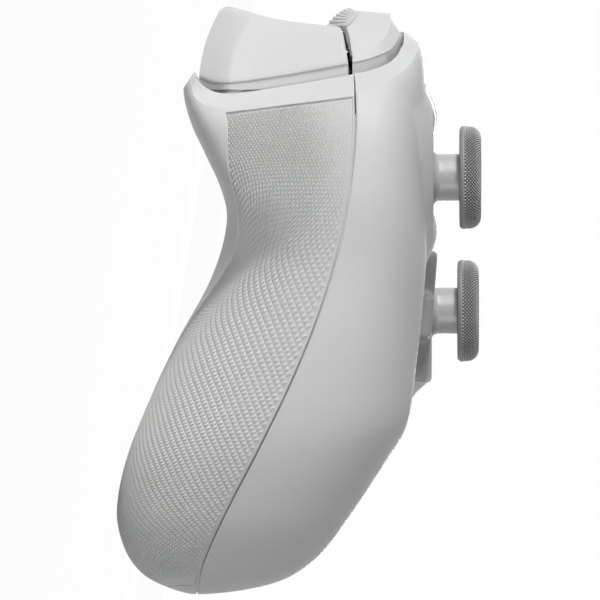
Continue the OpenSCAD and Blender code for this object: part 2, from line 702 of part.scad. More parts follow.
module shell_screws() {
    color(steel) rest_pose() both_sides() for (p = posts)
        translate([p[0], p[1], curve(p[1], seam_line) - screw_seat - screw_head_t - seat_gap])
            screw(shell_screw_l);
}

module frame_screws() {
    color(steel) rest_pose() both_sides()
        translate([frame_screw[0], frame_screw[1], frame_low_z - screw_head_t - seat_gap])
            screw(frame_screw_l);
}

module board_screws() {
    color(steel) rest_pose() for (p = board_screw_places)
        translate([p[0], p[1], board_z - board_t - screw_head_t - seat_gap]) screw(board_screw_l);
}

// Switch on the board with a well for the pin of its button
module one_switch() {
    difference() {
        translate([-switch_w / 2, -switch_w / 2, 0]) cube([switch_w, switch_w, switch_t]);
        translate([0, 0, switch_floor]) cylinder(r = pin_r + button_clear, h = switch_t);
    }
}

module button_switches() {
    color(black) rest_pose() for (p = concat(cluster, small_places, [[0, home_y]]))
        translate([p[0], p[1], board_z]) one_switch();
}

// Stem, flange and pin below a button cap, from the flange down into its switch
module button_stem(flange_r) {
    pressed = button_travel + travel_room;
    stem_low = board_z + switch_t + pressed;
    pin_low = board_z + switch_floor + pressed;
    translate([0, 0, flange_z - flange_t]) cylinder(r = flange_r, h = flange_t);
    translate([0, 0, stem_low]) cylinder(r = pin_r + 0.3, h = flange_z - stem_low);
    translate([0, 0, pin_low]) cylinder(r = pin_r, h = stem_low - pin_low + 1);
}

flange_z = face_z - shell_wall - 3;
flange_w = 0.9;
dome_bulge = 1.3;
// Round button with a domed top
module round_button(d, top_z, flange_r) {
    ball = (pow(d / 2, 2) + pow(dome_bulge, 2)) / (2 * dome_bulge);
    intersection() {
        translate([0, 0, flange_z - 1]) cylinder(d = d, h = top_z - flange_z + 1);
        translate([0, 0, top_z - ball]) sphere(r = ball, $fn = 96);
    }
    button_stem(flange_r);
}

module face_button(k) {
    color(light_shell) rest_pose() translate([cluster[k][0], cluster[k][1], 0])
        round_button(button_d, face_z + button_rise, button_d / 2 + flange_w);
}
module button_north() { face_button(0); }
module button_south() { face_button(1); }
module button_east() { face_button(2); }
module button_west() { face_button(3); }

// The home button runs in its ring, so its flange is no wider than its cap
module home_button() {
    color(light_shell) rest_pose() translate([0, home_y, 0])
        round_button(home_d, face_z + home_rise, home_d / 2);
}

home_rise = 2.2;
halo_sink = 2.8;
module home_halo() {
    color(black) rest_pose() translate([0, home_y, face_z - shell_wall - halo_sink]) difference() {
        union() {
            cylinder(d = halo_d, h = shell_wall + halo_sink + 0.2);
            cylinder(d = halo_d + 2, h = 1);
        }
        translate([0, 0, -1]) cylinder(d = home_d + 2 * button_clear, h = 10);
    }
}

small_rise = 0.8;
module small_button(k) {
    color(light_shell) rest_pose() translate([small_places[k][0], small_places[k][1], 0]) {
        translate([0, 0, flange_z - 1]) slot(small_l, small_w, face_z - flange_z + 1 + small_rise);
        translate([0, 0, flange_z - flange_t])
            slot(small_l + 2 * flange_w, small_w + 2 * flange_w, flange_t);
        button_stem(small_w / 2);
    }
}
module view_button() { small_button(0); }
module menu_button() { small_button(1); }
module share_button() { small_button(2); }

housing_rise = 2.4;
housing_floor = 0.6;
pivot_drop = stick_pivot_z - board_z;
// Square housing of a gimbal, with its floor on the board
module gimbal_housing() {
    height = pivot_drop + housing_rise;
    translate([0, 0, -pivot_drop]) difference() {
        intersection() {
            translate([-housing_w / 2, -housing_w / 2, 0]) cube([housing_w, housing_w, height]);
            cylinder(r = housing_w * 0.6, h = height);
        }
        translate([0, 0, housing_floor]) cylinder(r = ring_r + 0.5, h = through);
        translate([0, 0, pivot_drop]) rod_y(ring_pin_r + run_clear, 2 * housing_w);
    }
}

// Ring that turns about Y in the housing and carries the block about X
module gimbal_ring() {
    difference() {
        union() {
            cylinder(r = ring_r, h = 3, center = true);
            rod_y(ring_pin_r, housing_w - 0.8);
        }
        cylinder(r = ring_r - ring_wall, h = 6, center = true);
        rod_x(block_pin_r + run_clear, 20);
    }
}

module block_solid() {
    sphere(r = block_r);
    rod_x(block_pin_r, 2 * ring_r - 0.6);
}

module stick_block() {
    difference() {
        block_solid();
        cylinder(d = stem_d + 2 * run_clear, h = 20, center = true);
    }
}

// Coil of round wire along Z
module coil(r, wire, turns, pitch) {
    per_turn = 10;
    sides = 6;
    count = turns * per_turn;
    points = [for (i = [0:count]) for (j = [0:sides - 1])
        let (a = 360 * i / per_turn, b = 360 * j / sides, d = r + wire * cos(b))
        [d * cos(a), d * sin(a), pitch * i / per_turn + wire * sin(b)]];
    faces = concat([for (i = [0:count - 1]) for (j = [0:sides - 1]) let (k = (j + 1) % sides) each [
        [i * sides + j, i * sides + k, (i + 1) * sides + j],
        [i * sides + k, (i + 1) * sides + k, (i + 1) * sides + j]]],
        [for (j = [1:sides - 2]) [0, j + 1, j]],
        [for (j = [1:sides - 2]) [count * sides, count * sides + j, count * sides + j + 1]]);
    polyhedron(points, faces, convexity = 10);
}

spring_wire = 0.3;
hub_low = 8.1;
neck_top = cap_rise - cap_t;
socket_r = 3;
socket_depth = 1.4;
stem_room = 0.9;
stem_top = 13;
module stick_spring() {
    translate([0, 0, block_r + spring_wire + 0.02]) coil(stem_d / 2 + 0.75, spring_wire, 3, 0.85);
}

module stick_stem() {
    low = pivot_drop - housing_floor - stick_click - stem_room;
    translate([0, 0, -low]) cylinder(d = stem_d, h = low + stem_top);
}

// Neck on a dome that closes the stick opening
module stick_neck() {
    dome_low = dome_r * cos(72);
    difference() {
        union() {
            difference() {
                sphere(r = dome_r, $fn = 96);
                sphere(r = dome_r - dome_wall, $fn = 96);
                translate([-20, -20, -40 + dome_low]) cube([40, 40, 40]);
            }
            intersection() {
                translate([0, 0, hub_low]) cylinder(r = 3.6, h = 3.6);
                sphere(r = dome_r - 0.1, $fn = 96);
            }
            translate([0, 0, dome_r - 1]) cylinder(d = neck_d, h = neck_top - dome_r + 1);
            translate([0, 0, dome_r]) cylinder(r = socket_r, h = neck_top - dome_r + socket_depth);
        }
        cylinder(d = stem_d + 2 * seat_gap, h = stem_top + seat_gap);
    }
}

// Cap with a rounded upper edge and a dished top
module stick_cap() {
    r = cap_d / 2;
    round = 1.9;
    dish = 1.1;
    rim = r - round;
    difference() {
        translate([0, 0, neck_top]) rotate_extrude($fn = 64) polygon(concat(
            [[0, 0], [r - 0.5, 0], [r, 0.5]],
            [for (a = [0:15:90]) [rim + round * cos(a), cap_t - round + round * sin(a)]],
            [for (i = [1:6]) let (x = rim * (1 - i / 6)) [x, cap_t - dish * (1 - pow(x / rim, 2))]]));
        cylinder(r = socket_r + seat_gap, h = neck_top + socket_depth + seat_gap);
    }
}

stick_pivots = [[-stick_out_x, stick_out_y, stick_pivot_z], [stick_in_x, stick_in_y, stick_pivot_z]];
module stick_place(k) {
    rest_pose() translate(stick_pivots[k]) children();
}

module left_stick_housing() { color(steel) stick_place(0) gimbal_housing(); }
module left_stick_ring() { color(black) stick_place(0) gimbal_ring(); }
module left_stick_block() { color(black) stick_place(0) stick_block(); }
module left_stick_spring() { color(steel) stick_place(0) stick_spring(); }
module left_stick_stem() { color(steel) stick_place(0) stick_stem(); }
module left_stick_neck() { color(mid_grey) stick_place(0) stick_neck(); }
module left_stick_cap() { color(dark_grey) stick_place(0) stick_cap(); }
module right_stick_housing() { color(steel) stick_place(1) gimbal_housing(); }
module right_stick_ring() { color(black) stick_place(1) gimbal_ring(); }
module right_stick_block() { color(black) stick_place(1) stick_block(); }
module right_stick_spring() { color(steel) stick_place(1) stick_spring(); }
module right_stick_stem() { color(steel) stick_place(1) stick_stem(); }
module right_stick_neck() { color(mid_grey) stick_place(1) stick_neck(); }
module right_stick_cap() { color(dark_grey) stick_place(1) stick_cap(); }

module pad_pivot_place() {
    rest_pose() translate([-pad_x, pad_y, stick_pivot_z]) children();
}
module pad_housing() { color(black) pad_pivot_place() gimbal_housing(); }
module pad_rocker() { color(black) pad_pivot_place() gimbal_ring(); }

// Cross with a dished top on a stem that ends in a pivot block
module pad_cross() {
    top = pad_top_z - stick_pivot_z;
    dish_r = 70;
    dish_depth = 1;
    pad_stem_r = 2.6;
    color(mid_grey) pad_pivot_place() {
        translate([0, 0, top]) rotate([pad_lean, 0, 0]) difference() {
            union() {
                translate([-pad_w / 2, -pad_arm_w / 2, -pad_t]) cube([pad_w, pad_arm_w, pad_t]);
                translate([-pad_arm_w / 2, -pad_w / 2, -pad_t]) cube([pad_arm_w, pad_w, pad_t]);
            }
            translate([0, 0, dish_r - dish_depth]) sphere(r = dish_r, $fn = 128);
        }
        cylinder(r = pad_stem_r, h = top - pad_t / 2);
        block_solid();
    }
}

module trigger_solid() {
    intersection() {
        side_extrude(trigger_side, trigger_in_x - 1, trigger_out_x + 1);
        translate([0, 0, 5]) linear_extrude(45) polygon(trigger_plan);
    }
}

// Trigger cap with its hub, for the right side
module trigger() {
    difference() {
        union() {
            difference() {
                trigger_solid();
                intersection() {
                    side_extrude(trigger_hollow, trigger_in_x + trigger_wall, trigger_out_x - trigger_wall);
                    translate([0, 0, 5]) linear_extrude(45)
                        offset(delta = -trigger_wall) polygon(hollow_plan);
                }
            }
            translate([(hub_in_x + hub_out_x) / 2, trigger_y, trigger_z])
                rod_x(hub_r, hub_out_x - hub_in_x);
            translate([hub_out_x - web_w, trigger_y - 1, web_z]) {
                cube([web_w, hub_r + 1, trigger_z - web_z]);
                cube([web_w, 10, 3.2]);
            }
            side_extrude(trigger_skirt, trigger_out_x - trigger_wall, trigger_out_x);
        }
        translate([(hub_in_x + hub_out_x) / 2, trigger_y, trigger_z]) rod_x(pin_d / 2 + run_clear, through);
        for (x = [ear_in_x, ear_out_x]) {
            translate([x + ear_w / 2, trigger_y, trigger_z]) rod_x(ear_r + 0.5, ear_w + 2 * ear_gap);
            translate([x - ear_gap, 29, 33]) cube([ear_w + 2 * ear_gap, 12, 8]);
        }
    }
}

module trigger_pin() {
    translate([(ear_in_x + ear_out_x + ear_w) / 2, trigger_y, trigger_z])
        rod_x(pin_d / 2, ear_out_x - ear_in_x + ear_w + 0.6);
}

module trigger_spring() {
    translate([ear_in_x + ear_w + 0.5, trigger_y, trigger_z]) rotate([0, 90, 0])
        coil(pin_d / 2 + 0.6, spring_wire + 0.05, 4, 1);
}

module right_trigger() { color(light_shell) rest_pose() trigger(); }
module left_trigger() { color(light_shell) rest_pose() mirror([1, 0, 0]) trigger(); }
module right_trigger_pin() { color(steel) rest_pose() trigger_pin(); }
module left_trigger_pin() { color(steel) rest_pose() mirror([1, 0, 0]) trigger_pin(); }
module right_trigger_spring() { color(steel) rest_pose() trigger_spring(); }
module left_trigger_spring() { color(steel) rest_pose() mirror([1, 0, 0]) trigger_spring(); }

// Bumper with its hinge hub, for the right side
module bumper() {
    hub_low_z = shelf_z + shelf_t + 0.3;
    difference() {
        union() {
            intersection() {
                side_extrude(bumper_side, bumper_x - 4, 60);
                translate([0, 0, 30]) linear_extrude(30) polygon(bumper_plan);
            }
            translate([bumper_x, bumper_y, hub_low_z])
                cylinder(r = bumper_hub_r, h = stud_top_z - hub_low_z);
            translate([bumper_x - bumper_hub_r, bumper_y, hub_low_z])
                cube([2 * bumper_hub_r, 6, stud_top_z - hub_low_z]);
        }
        translate([bumper_x, bumper_y, frame_low_z]) cylinder(r = stud_r + run_clear, h = through);
    }
}
module right_bumper() { color(light_shell) rest_pose() bumper(); }
module left_bumper() { color(light_shell) rest_pose() mirror([1, 0, 0]) bumper(); }

module motor_place() {
    translate([motor_x, motor_front_y, motor_z]) rotate([90, 0, 0]) children();
}

module motor() {
    motor_place() difference() {
        union() {
            cylinder(r = motor_r, h = motor_l);
            translate([0, 0, motor_l]) cylinder(r = 2.4, h = 1.2);
        }
        translate([0, 0, motor_l - 6]) cylinder(r = shaft_r + run_clear, h = 10);
    }
}

// Half disc on the motor shaft
module motor_weight() {
    motor_place() {
        translate([0, 0, motor_l - 5.8]) cylinder(r = shaft_r, h = 5.8 + 2 + weight_t);
        translate([0, 0, motor_l + 1.8]) {
            cylinder(r = 2.6, h = weight_t);
            difference() {
                cylinder(r = weight_r, h = weight_t);
                translate([-20, 0, -1]) cube([40, 40, weight_t + 2]);
            }
        }
    }
}
module right_motor() { color(steel) rest_pose() motor(); }
module left_motor() { color(steel) rest_pose() mirror([1, 0, 0]) motor(); }
module right_motor_weight() { color(mid_grey) rest_pose() motor_weight(); }
module left_motor_weight() { color(mid_grey) rest_pose() mirror([1, 0, 0]) motor_weight(); }

front_shell();
back_shell();
inner_frame();
main_board();
battery_pack();
cable_inlet();
headset_jack();
shell_screws();
frame_screws();
board_screws();
button_switches();
home_halo();
home_button();
view_button();
menu_button();
share_button();
button_north();
button_south();
button_east();
button_west();
pad_housing();
pad_rocker();
pad_cross();
left_stick_housing();
left_stick_ring();
left_stick_block();
left_stick_spring();
left_stick_stem();
left_stick_neck();
left_stick_cap();
right_stick_housing();
right_stick_ring();
right_stick_block();
right_stick_spring();
right_stick_stem();
right_stick_neck();
right_stick_cap();
left_trigger();
left_trigger_pin();
left_trigger_spring();
right_trigger();
right_trigger_pin();
right_trigger_spring();
left_bumper();
right_bumper();
left_motor();
left_motor_weight();
right_motor();
right_motor_weight();
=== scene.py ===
import json
import bmesh
import bpy
import numpy as np
from mathutils import Matrix, Vector


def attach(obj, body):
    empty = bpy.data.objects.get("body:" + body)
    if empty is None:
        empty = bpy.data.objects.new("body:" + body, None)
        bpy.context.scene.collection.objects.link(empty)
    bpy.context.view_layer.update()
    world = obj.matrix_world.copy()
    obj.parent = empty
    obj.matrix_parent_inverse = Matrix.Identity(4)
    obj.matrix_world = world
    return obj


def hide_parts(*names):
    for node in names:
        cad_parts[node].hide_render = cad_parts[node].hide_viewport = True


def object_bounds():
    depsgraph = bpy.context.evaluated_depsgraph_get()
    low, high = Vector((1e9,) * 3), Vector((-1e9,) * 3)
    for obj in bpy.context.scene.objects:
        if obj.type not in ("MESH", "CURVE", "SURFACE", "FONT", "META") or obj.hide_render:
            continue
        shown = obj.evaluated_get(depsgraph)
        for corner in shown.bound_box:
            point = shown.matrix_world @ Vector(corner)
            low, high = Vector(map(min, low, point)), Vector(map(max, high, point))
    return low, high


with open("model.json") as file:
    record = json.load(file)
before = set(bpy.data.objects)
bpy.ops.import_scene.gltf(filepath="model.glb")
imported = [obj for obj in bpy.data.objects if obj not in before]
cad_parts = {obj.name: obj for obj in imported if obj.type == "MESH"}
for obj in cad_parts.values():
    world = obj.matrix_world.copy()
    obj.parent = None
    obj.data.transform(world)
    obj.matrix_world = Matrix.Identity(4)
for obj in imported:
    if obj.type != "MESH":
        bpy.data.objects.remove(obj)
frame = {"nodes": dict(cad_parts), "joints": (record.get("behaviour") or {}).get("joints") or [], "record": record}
cadLow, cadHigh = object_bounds()
scene = bpy.context.scene
scene.view_settings.view_transform = "Standard"

# Shapes are worked out face up in millimetres, then laid down on the grips as the frame lies
outerTilt = next(j for j in frame["joints"] if j["name"] == "left_stick_side_tilt")
stickPivots = {"left": np.array([-40, 21.5, 44]), "right": np.array([20, -1.9, 44])}
leanCos, leanSin = outerTilt["axis"][1], -outerTilt["axis"][2]
leanTurn = np.array([[1, 0, 0], [0, leanCos, leanSin], [0, -leanSin, leanCos]])
restShift = np.array(outerTilt["pos_m"]) * 1000 - leanTurn @ stickPivots["left"]


def lieDown(points):
    return (np.asarray(points, float) @ leanTurn.T + restShift) / 1000


# Mesh helpers
meshing = {"merge": 1e-3, "sliver": 1e-4}


def smoothStep(x):
    u = np.clip(x, 0, 1)
    return u * u * (3 - 2 * u)


def throughPoints(x, table):
    # Cubic through the table's points, with slopes taken from the neighbours on both sides
    xs, ys = np.asarray(table, float).T
    last = len(xs) - 1
    before, after = np.maximum(np.arange(last + 1) - 1, 0), np.minimum(np.arange(last + 1) + 1, last)
    slope = (ys[after] - ys[before]) / (xs[after] - xs[before])
    x = np.asarray(x, float)
    i = np.clip(np.searchsorted(xs, x, side="right") - 1, 0, last - 1)
    h = xs[i + 1] - xs[i]
    u = np.clip((x - xs[i]) / h, 0, 1)
    return (ys[i] * (2 * u**3 - 3 * u**2 + 1) + slope[i] * h * (u**3 - 2 * u**2 + u)
            + ys[i + 1] * (3 * u**2 - 2 * u**3) + slope[i + 1] * h * (u**3 - u**2))


def alongRows(values, s):
    return throughPoints(s, np.c_[np.arange(len(values)), values])


def evenly(points, count, closed=False):
    # Points spread evenly by length along a polyline
    p = np.asarray(points, float)
    if closed:
        p = np.vstack([p, p[:1]])
    run = np.r_[0, np.cumsum(np.linalg.norm(np.diff(p, axis=0), axis=1))]
    at = np.linspace(0, run[-1], count + 1)[:-1] if closed else np.linspace(0, run[-1], count)
    return np.stack([np.interp(at, run, p[:, k]) for k in range(p.shape[1])], 1)


def smoothLine(points, steps):
    # A smooth line through a few points, with the same number of steps between each two
    p = np.asarray(points, float)
    t = np.linspace(0, len(p) - 1, (len(p) - 1) * steps + 1)
    return np.stack([alongRows(p[:, k], t) for k in range(p.shape[1])], 1)


def gridFaces(rows, cols, wrapCols=False, start=0, flip=False):
    i, j = np.meshgrid(np.arange(rows - 1), np.arange(cols if wrapCols else cols - 1), indexing="ij")
    k = (j + 1) % cols
    quads = np.stack([i * cols + j, (i + 1) * cols + j, (i + 1) * cols + k, i * cols + k], -1).reshape(-1, 4)
    return start + (quads[:, ::-1] if flip else quads)


def setRelief(mesh, values):
    # Vertex attribute for the finishes: nought in grooves and valleys, one on peaks and plain faces; the finishes
    # darken low values as painted shade
    layer = mesh.attributes.new("relief", "FLOAT", "POINT")
    layer.data.foreach_set("value", np.asarray(values, float).ravel())


def cornersOf(mesh):
    co = np.zeros(len(mesh.vertices) * 3)
    mesh.vertices.foreach_get("co", co)
    return co.reshape(-1, 3)


def makePiece(name, points, faces, close=True, relief=None):
    # Mesh from whole arrays; doubles are merged and the faces turned outwards
    pts = np.asarray(points, float).reshape(-1, 3)
    mesh = bpy.data.meshes.new(name)
    mesh.from_pydata(pts.tolist(), [], [f for part in faces for f in np.asarray(part).tolist()])
    if relief is not None:
        setRelief(mesh, relief)
    if close:
        work = bmesh.new()
        work.from_mesh(mesh)
        bmesh.ops.remove_doubles(work, verts=work.verts, dist=meshing["merge"])
        bmesh.ops.dissolve_degenerate(work, edges=work.edges, dist=meshing["sliver"])
        bmesh.ops.recalc_face_normals(work, faces=work.faces)
        work.to_mesh(mesh)
        work.free()
    mesh.update()
    piece = bpy.data.objects.new(name, mesh)
    scene.collection.objects.link(piece)
    return piece


def loft(name, rings, capStart=False, capEnd=False, mirrored=False):
    # Closed rings joined one to the next; a ring that has shrunk to a point or line closes itself
    rings = np.asarray(rings, float)
    rows, cols = rings.shape[:2]
    if mirrored:
        rings = rings * [-1, 1, 1]
    faces = [gridFaces(rows, cols, True)]
    if capStart:
        faces.append([list(range(cols))])
    if capEnd:
        faces.append([list(range((rows - 1) * cols, rows * cols))])
    return makePiece(name, rings, faces)


def prismX(name, profile, fromX, toX, mirrored=False):
    # A side profile of distance forward and height, drawn out across
    p = np.asarray(profile, float)
    rings = [np.c_[np.full(len(p), x), p] for x in (fromX, toX)]
    return loft(name, rings, True, True, mirrored)


def prismPair(name, profile, fromX, toX):
    return joinPieces(prismX(name, profile, fromX, toX), [prismX(name, profile, fromX, toX, True)])


def aroundTurn(count):
    return np.linspace(0, 2 * np.pi, count, endpoint=False)


def leanOver(points, degrees):
    c, s = np.cos(np.radians(degrees)), np.sin(np.radians(degrees))
    return points @ np.array([[1, 0, 0], [0, c, s], [0, -s, c]])


def lathe(name, profile, centre, turns=64, lean=0.0, mirrored=False):
    # A profile of radius and height turned about an upright axis
    p = np.asarray(profile, float)
    a = aroundTurn(turns)
    r, z = p[:, 0][:, None], p[:, 1][:, None]
    pts = np.stack([r * np.cos(a), r * np.sin(a), z + 0 * a], -1)
    if lean:
        pts = leanOver(pts, lean)
    return loft(name, pts + np.asarray(centre, float), mirrored=mirrored)


def drumX(name, steps, centre, turns, capped=False, mirrored=False):
    # Circles about an axis across, each given by its place along the axis and its radius
    a = aroundTurn(turns)
    rings = [np.c_[np.full(turns, x), centre[0] + r * np.cos(a), centre[1] + r * np.sin(a)] for x, r in steps]
    return loft(name, rings, capped, capped, mirrored)


def splitDiamonds(quads, peakFirst):
    # Quads are split along the valleys, so that each peak becomes a four-sided diamond
    a, b, c, d = quads.T
    return np.where(np.concatenate([peakFirst, peakFirst])[:, None],
                    np.concatenate([np.stack([a, b, d], 1), np.stack([c, d, b], 1)]),
                    np.concatenate([np.stack([b, c, a], 1), np.stack([d, a, c], 1)]))


def joinPieces(target, others):
    work = bmesh.new()
    for part in [target] + list(others):
        work.from_mesh(part.data)
    work.to_mesh(target.data)
    work.free()
    for part in others:
        bpy.data.objects.remove(part)
    return target


def combine(target, tools, operation="DIFFERENCE"):
    # Cuts, adds or keeps the common part, one tool after the other
    for tool in tools:
        step = target.modifiers.new("step", "BOOLEAN")
        step.operation, step.solver, step.object = operation, "MANIFOLD", tool
        graph = bpy.context.evaluated_depsgraph_get()
        graph.update()
        result = bpy.data.meshes.new_from_object(target.evaluated_get(graph))
        target.modifiers.clear()
        target.data = result
        bpy.data.objects.remove(tool)
    return target


def settle(piece, body, nodes, look, sharp=30):
    # Lays a finished piece down in its place, lets it ride on its body and gives it its finish
    mesh = piece.data
    mesh.vertices.foreach_set("co", lieDown(cornersOf(mesh)).ravel())
    mesh.polygons.foreach_set("use_smooth", np.ones(len(mesh.polygons), bool))
    mesh.set_sharp_from_angle(angle=np.radians(sharp))
    mesh.update()
    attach(piece, body)
    if nodes:
        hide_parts(*nodes)
    dress(piece, look)
    return piece


# Body: outlines from the middle to a grip tip, and heights over the distance forward
body = {
    "outerX": [0, 17, 36, 55.5, 65.8, 70.5, 72.4, 75.1, 76, 73.4, 68.8, 66.5],
    "outerY": [47.5, 47.2, 45.9, 40.8, 33.2, 20, 5, -11, -25, -37.5, -46.6, -51],
    "innerX": [0, 8, 14.5, 20, 25, 29.5, 33.5, 37, 40.5, 45, 49.2, 51],
    "innerY": [-23, -23.1, -23.5, -24.3, -25.8, -28.2, -31.5, -35.5, -40, -45, -49.5, -51.8],
    "squareness": [5, 5, 4.5, 3.6, 3, 2.7, 2.5, 2.4, 2.3, 2.2, 2.1, 2],
    "seam": [[-51.4, 13.9], [-46.3, 14.9], [-37.9, 18.6], [-25.3, 25.1], [-12.6, 31.2], [0, 36.1],
             [12.6, 39.5], [29.5, 41.6], [47.5, 41]],
    "face": [[-52, 29], [-48, 33], [-41.3, 37.9], [-35, 42.3], [-28, 46.9], [-22.5, 50.2], [-15, 51.7],
             [7.4, 53.9], [30, 53.9], [38, 53.7], [45, 53.15], [47.5, 51.8]],
    "back": [[-52, 8], [-48, 3.2], [-41.3, 0.6], [-36.5, 0], [-28, 1.6], [-18.2, 5.4], [-7, 10.7],
             [4.2, 16.7], [14, 19.3], [19.6, 18.2], [25.3, 15.6], [30.9, 13], [36.5, 11.6], [47.5, 11.5]],
    "flatBack": 20.5, "gripFrom": 20, "gripOver": 24, "backSquare": [[8, 6, 22], [7, 26, 12]],
    "frontSquare": [20, 1.2, 2.2], "wall": 2.2, "leastRise": 0.5, "tipFrom": 9, "tipOver": 2,
    "tipDraw": [0.045, 6, 5], "seamGap": 0.3, "seamRound": 0.22, "lapInset": {1: 1.0, -1: 1.2},
    "lapRise": {1: 1.25, -1: 1.2}, "lapFrom": 3.9, "lapOver": 0.4, "lapDraw": 0.2,
    "rows": 116, "tipRows": 28, "cols": 64, "coreCols": 33, "coreGap": 0.06,
}


def backSquareness(n, y):
    # The back gets squarer towards the front in two steps
    (middle, fromMiddle, overMiddle), (more, fromMore, overMore) = body["backSquare"]
    n = n + (middle - n) * smoothStep((y - fromMiddle) / overMiddle)
    return n + more * smoothStep((y - fromMore) / overMore)


def frontSquareness(n, q, c):
    # The upper front edge over the bumpers is squarer than the rest of the face
    most, fromRow, overRows = body["frontSquare"]
    return n + (most - n) * (1 - smoothStep((q - fromRow) / overRows)) * (c > 0)


def bodyPoint(s, c, up, inset=0.0):
    # Each station joins an outer to an inner outline point; c runs across it, and the height follows
    # a superellipse
    q = np.abs(s)
    n = alongRows(body["squareness"], q)
    k = np.sqrt(1 - np.clip((q - body["tipFrom"]) / body["tipOver"], 0, 1) ** 2)
    ox, oy, ix, iy = (alongRows(body[key], q) for key in ("outerX", "outerY", "innerX", "innerY"))
    half = np.hypot(ox - ix, oy - iy) / 2
    reach = np.maximum(k * half - inset, 0) / half * c
    x = (ox + ix + (ox - ix) * reach) / 2
    y = (oy + iy + (oy - iy) * reach) / 2
    seam = throughPoints(y, body["seam"])
    if up > 0:
        e, far = frontSquareness(n, q, c), throughPoints(y, body["face"]) - seam
    else:
        e = backSquareness(n, y)
        grip = smoothStep((np.abs(x) - body["gripFrom"]) / body["gripOver"])
        far = seam - (body["flatBack"] * (1 - grip) + throughPoints(y, body["back"]) * grip)
    rise = k * np.maximum(1 - np.abs(c) ** e, 0) ** (1 / e)
    z = seam + up * np.maximum(far - inset, body["leastRise"]) * rise
    return np.stack([np.sign(s + 1e-9) * x, y, z], -1)


halfRows = np.r_[np.arange(body["rows"]) * body["tipFrom"] / body["rows"],
                 body["tipFrom"] + body["tipOver"] * np.sin(np.linspace(0, np.pi / 2, body["tipRows"]))]
bodyRows = np.r_[-halfRows[:0:-1], halfRows]
acrossBody = np.sin(np.linspace(-np.pi / 2, np.pi / 2, body["cols"] + 1))


def shellHalf(name, up):
    # Outer skin and a skin moved in by the wall, joined along the seam by a small rounded edge and a lap:
    # the back's inner half stands up behind the front's outer half, except at the trigger openings
    s, c = np.meshgrid(bodyRows, acrossBody, indexing="ij")
    lift = np.array([0, 0, up * body["seamGap"] / 2])
    outer = bodyPoint(s, c, up) + lift
    edge = outer[:, [0, -1]].copy()
    middle = outer[:, [0, -1]].mean(1, keepdims=True)
    toMiddle = middle - edge
    length = np.maximum(np.linalg.norm(toMiddle, axis=-1, keepdims=True), 1e-6)
    edge += toMiddle / length * np.minimum(body["seamRound"], length)
    outer[:, [0, -1]] += [0, 0, up * body["seamRound"]]
    most, fromRow, overRows = body["tipDraw"]
    drawnIn = s * (1 - most * smoothStep((np.abs(s) - fromRow) / overRows))
    inner = bodyPoint(drawnIn, c, up, body["wall"]) + lift
    lapRows = (1 - body["lapDraw"]) * s + body["lapDraw"] * drawnIn
    ledge = bodyPoint(lapRows[:, [0, -1]], c[:, [0, -1]], up, body["lapInset"][up]) + lift
    rise = smoothStep((np.abs(bodyRows) - body["lapFrom"]) / body["lapOver"])
    lap = ledge + (np.stack([0 * rise + 1, rise], 1) * body["lapRise"][up])[..., None] * [0, 0, 1]
    if up > 0:
        inner[..., 2] = np.maximum(inner[..., 2], np.where(c < 0, lap[:, :1, 2], lap[:, 1:, 2]))
    else:
        inner[:, [0, -1], 2] = lap[..., 2]
    for grid in (ledge, lap, inner):
        for end in (0, -1):
            grid[end] = grid[end, [0, -1]].mean(0)
    borders = lap, ledge, edge
    outer = np.concatenate([b[:, :1] for b in borders] + [outer] + [b[:, 1:] for b in borders[::-1]], 1)
    inner = np.concatenate([inner[:, :1]] * 3 + [inner] + [inner[:, -1:]] * 3, 1)
    rows, cols = outer.shape[:2]
    count = rows * cols
    faces = [gridFaces(rows, cols), gridFaces(rows, cols, start=count, flip=True)]
    for j in (0, cols - 1):
        line = np.arange(rows) * cols + j
        faces.append(np.stack([line[:-1], line[1:], line[1:] + count, line[:-1] + count], 1))
    return makePiece(name, np.concatenate([outer.reshape(-1, 3), inner.reshape(-1, 3)]), faces)


def bodyCore(name, up, inset):
    # The filled half body moved in, closed across the seam
    rows = np.unique(np.r_[-halfRows[:-5:2], halfRows[:-5:2]])
    c = np.sin(np.linspace(-np.pi / 2, np.pi / 2, body["coreCols"]))
    rings = bodyPoint(rows[:, None] + 0 * c, c + 0 * rows[:, None], up, inset)
    rings = rings + [0, 0, up * (body["seamGap"] / 2 + body["coreGap"])]
    return loft(name, rings, True, True)


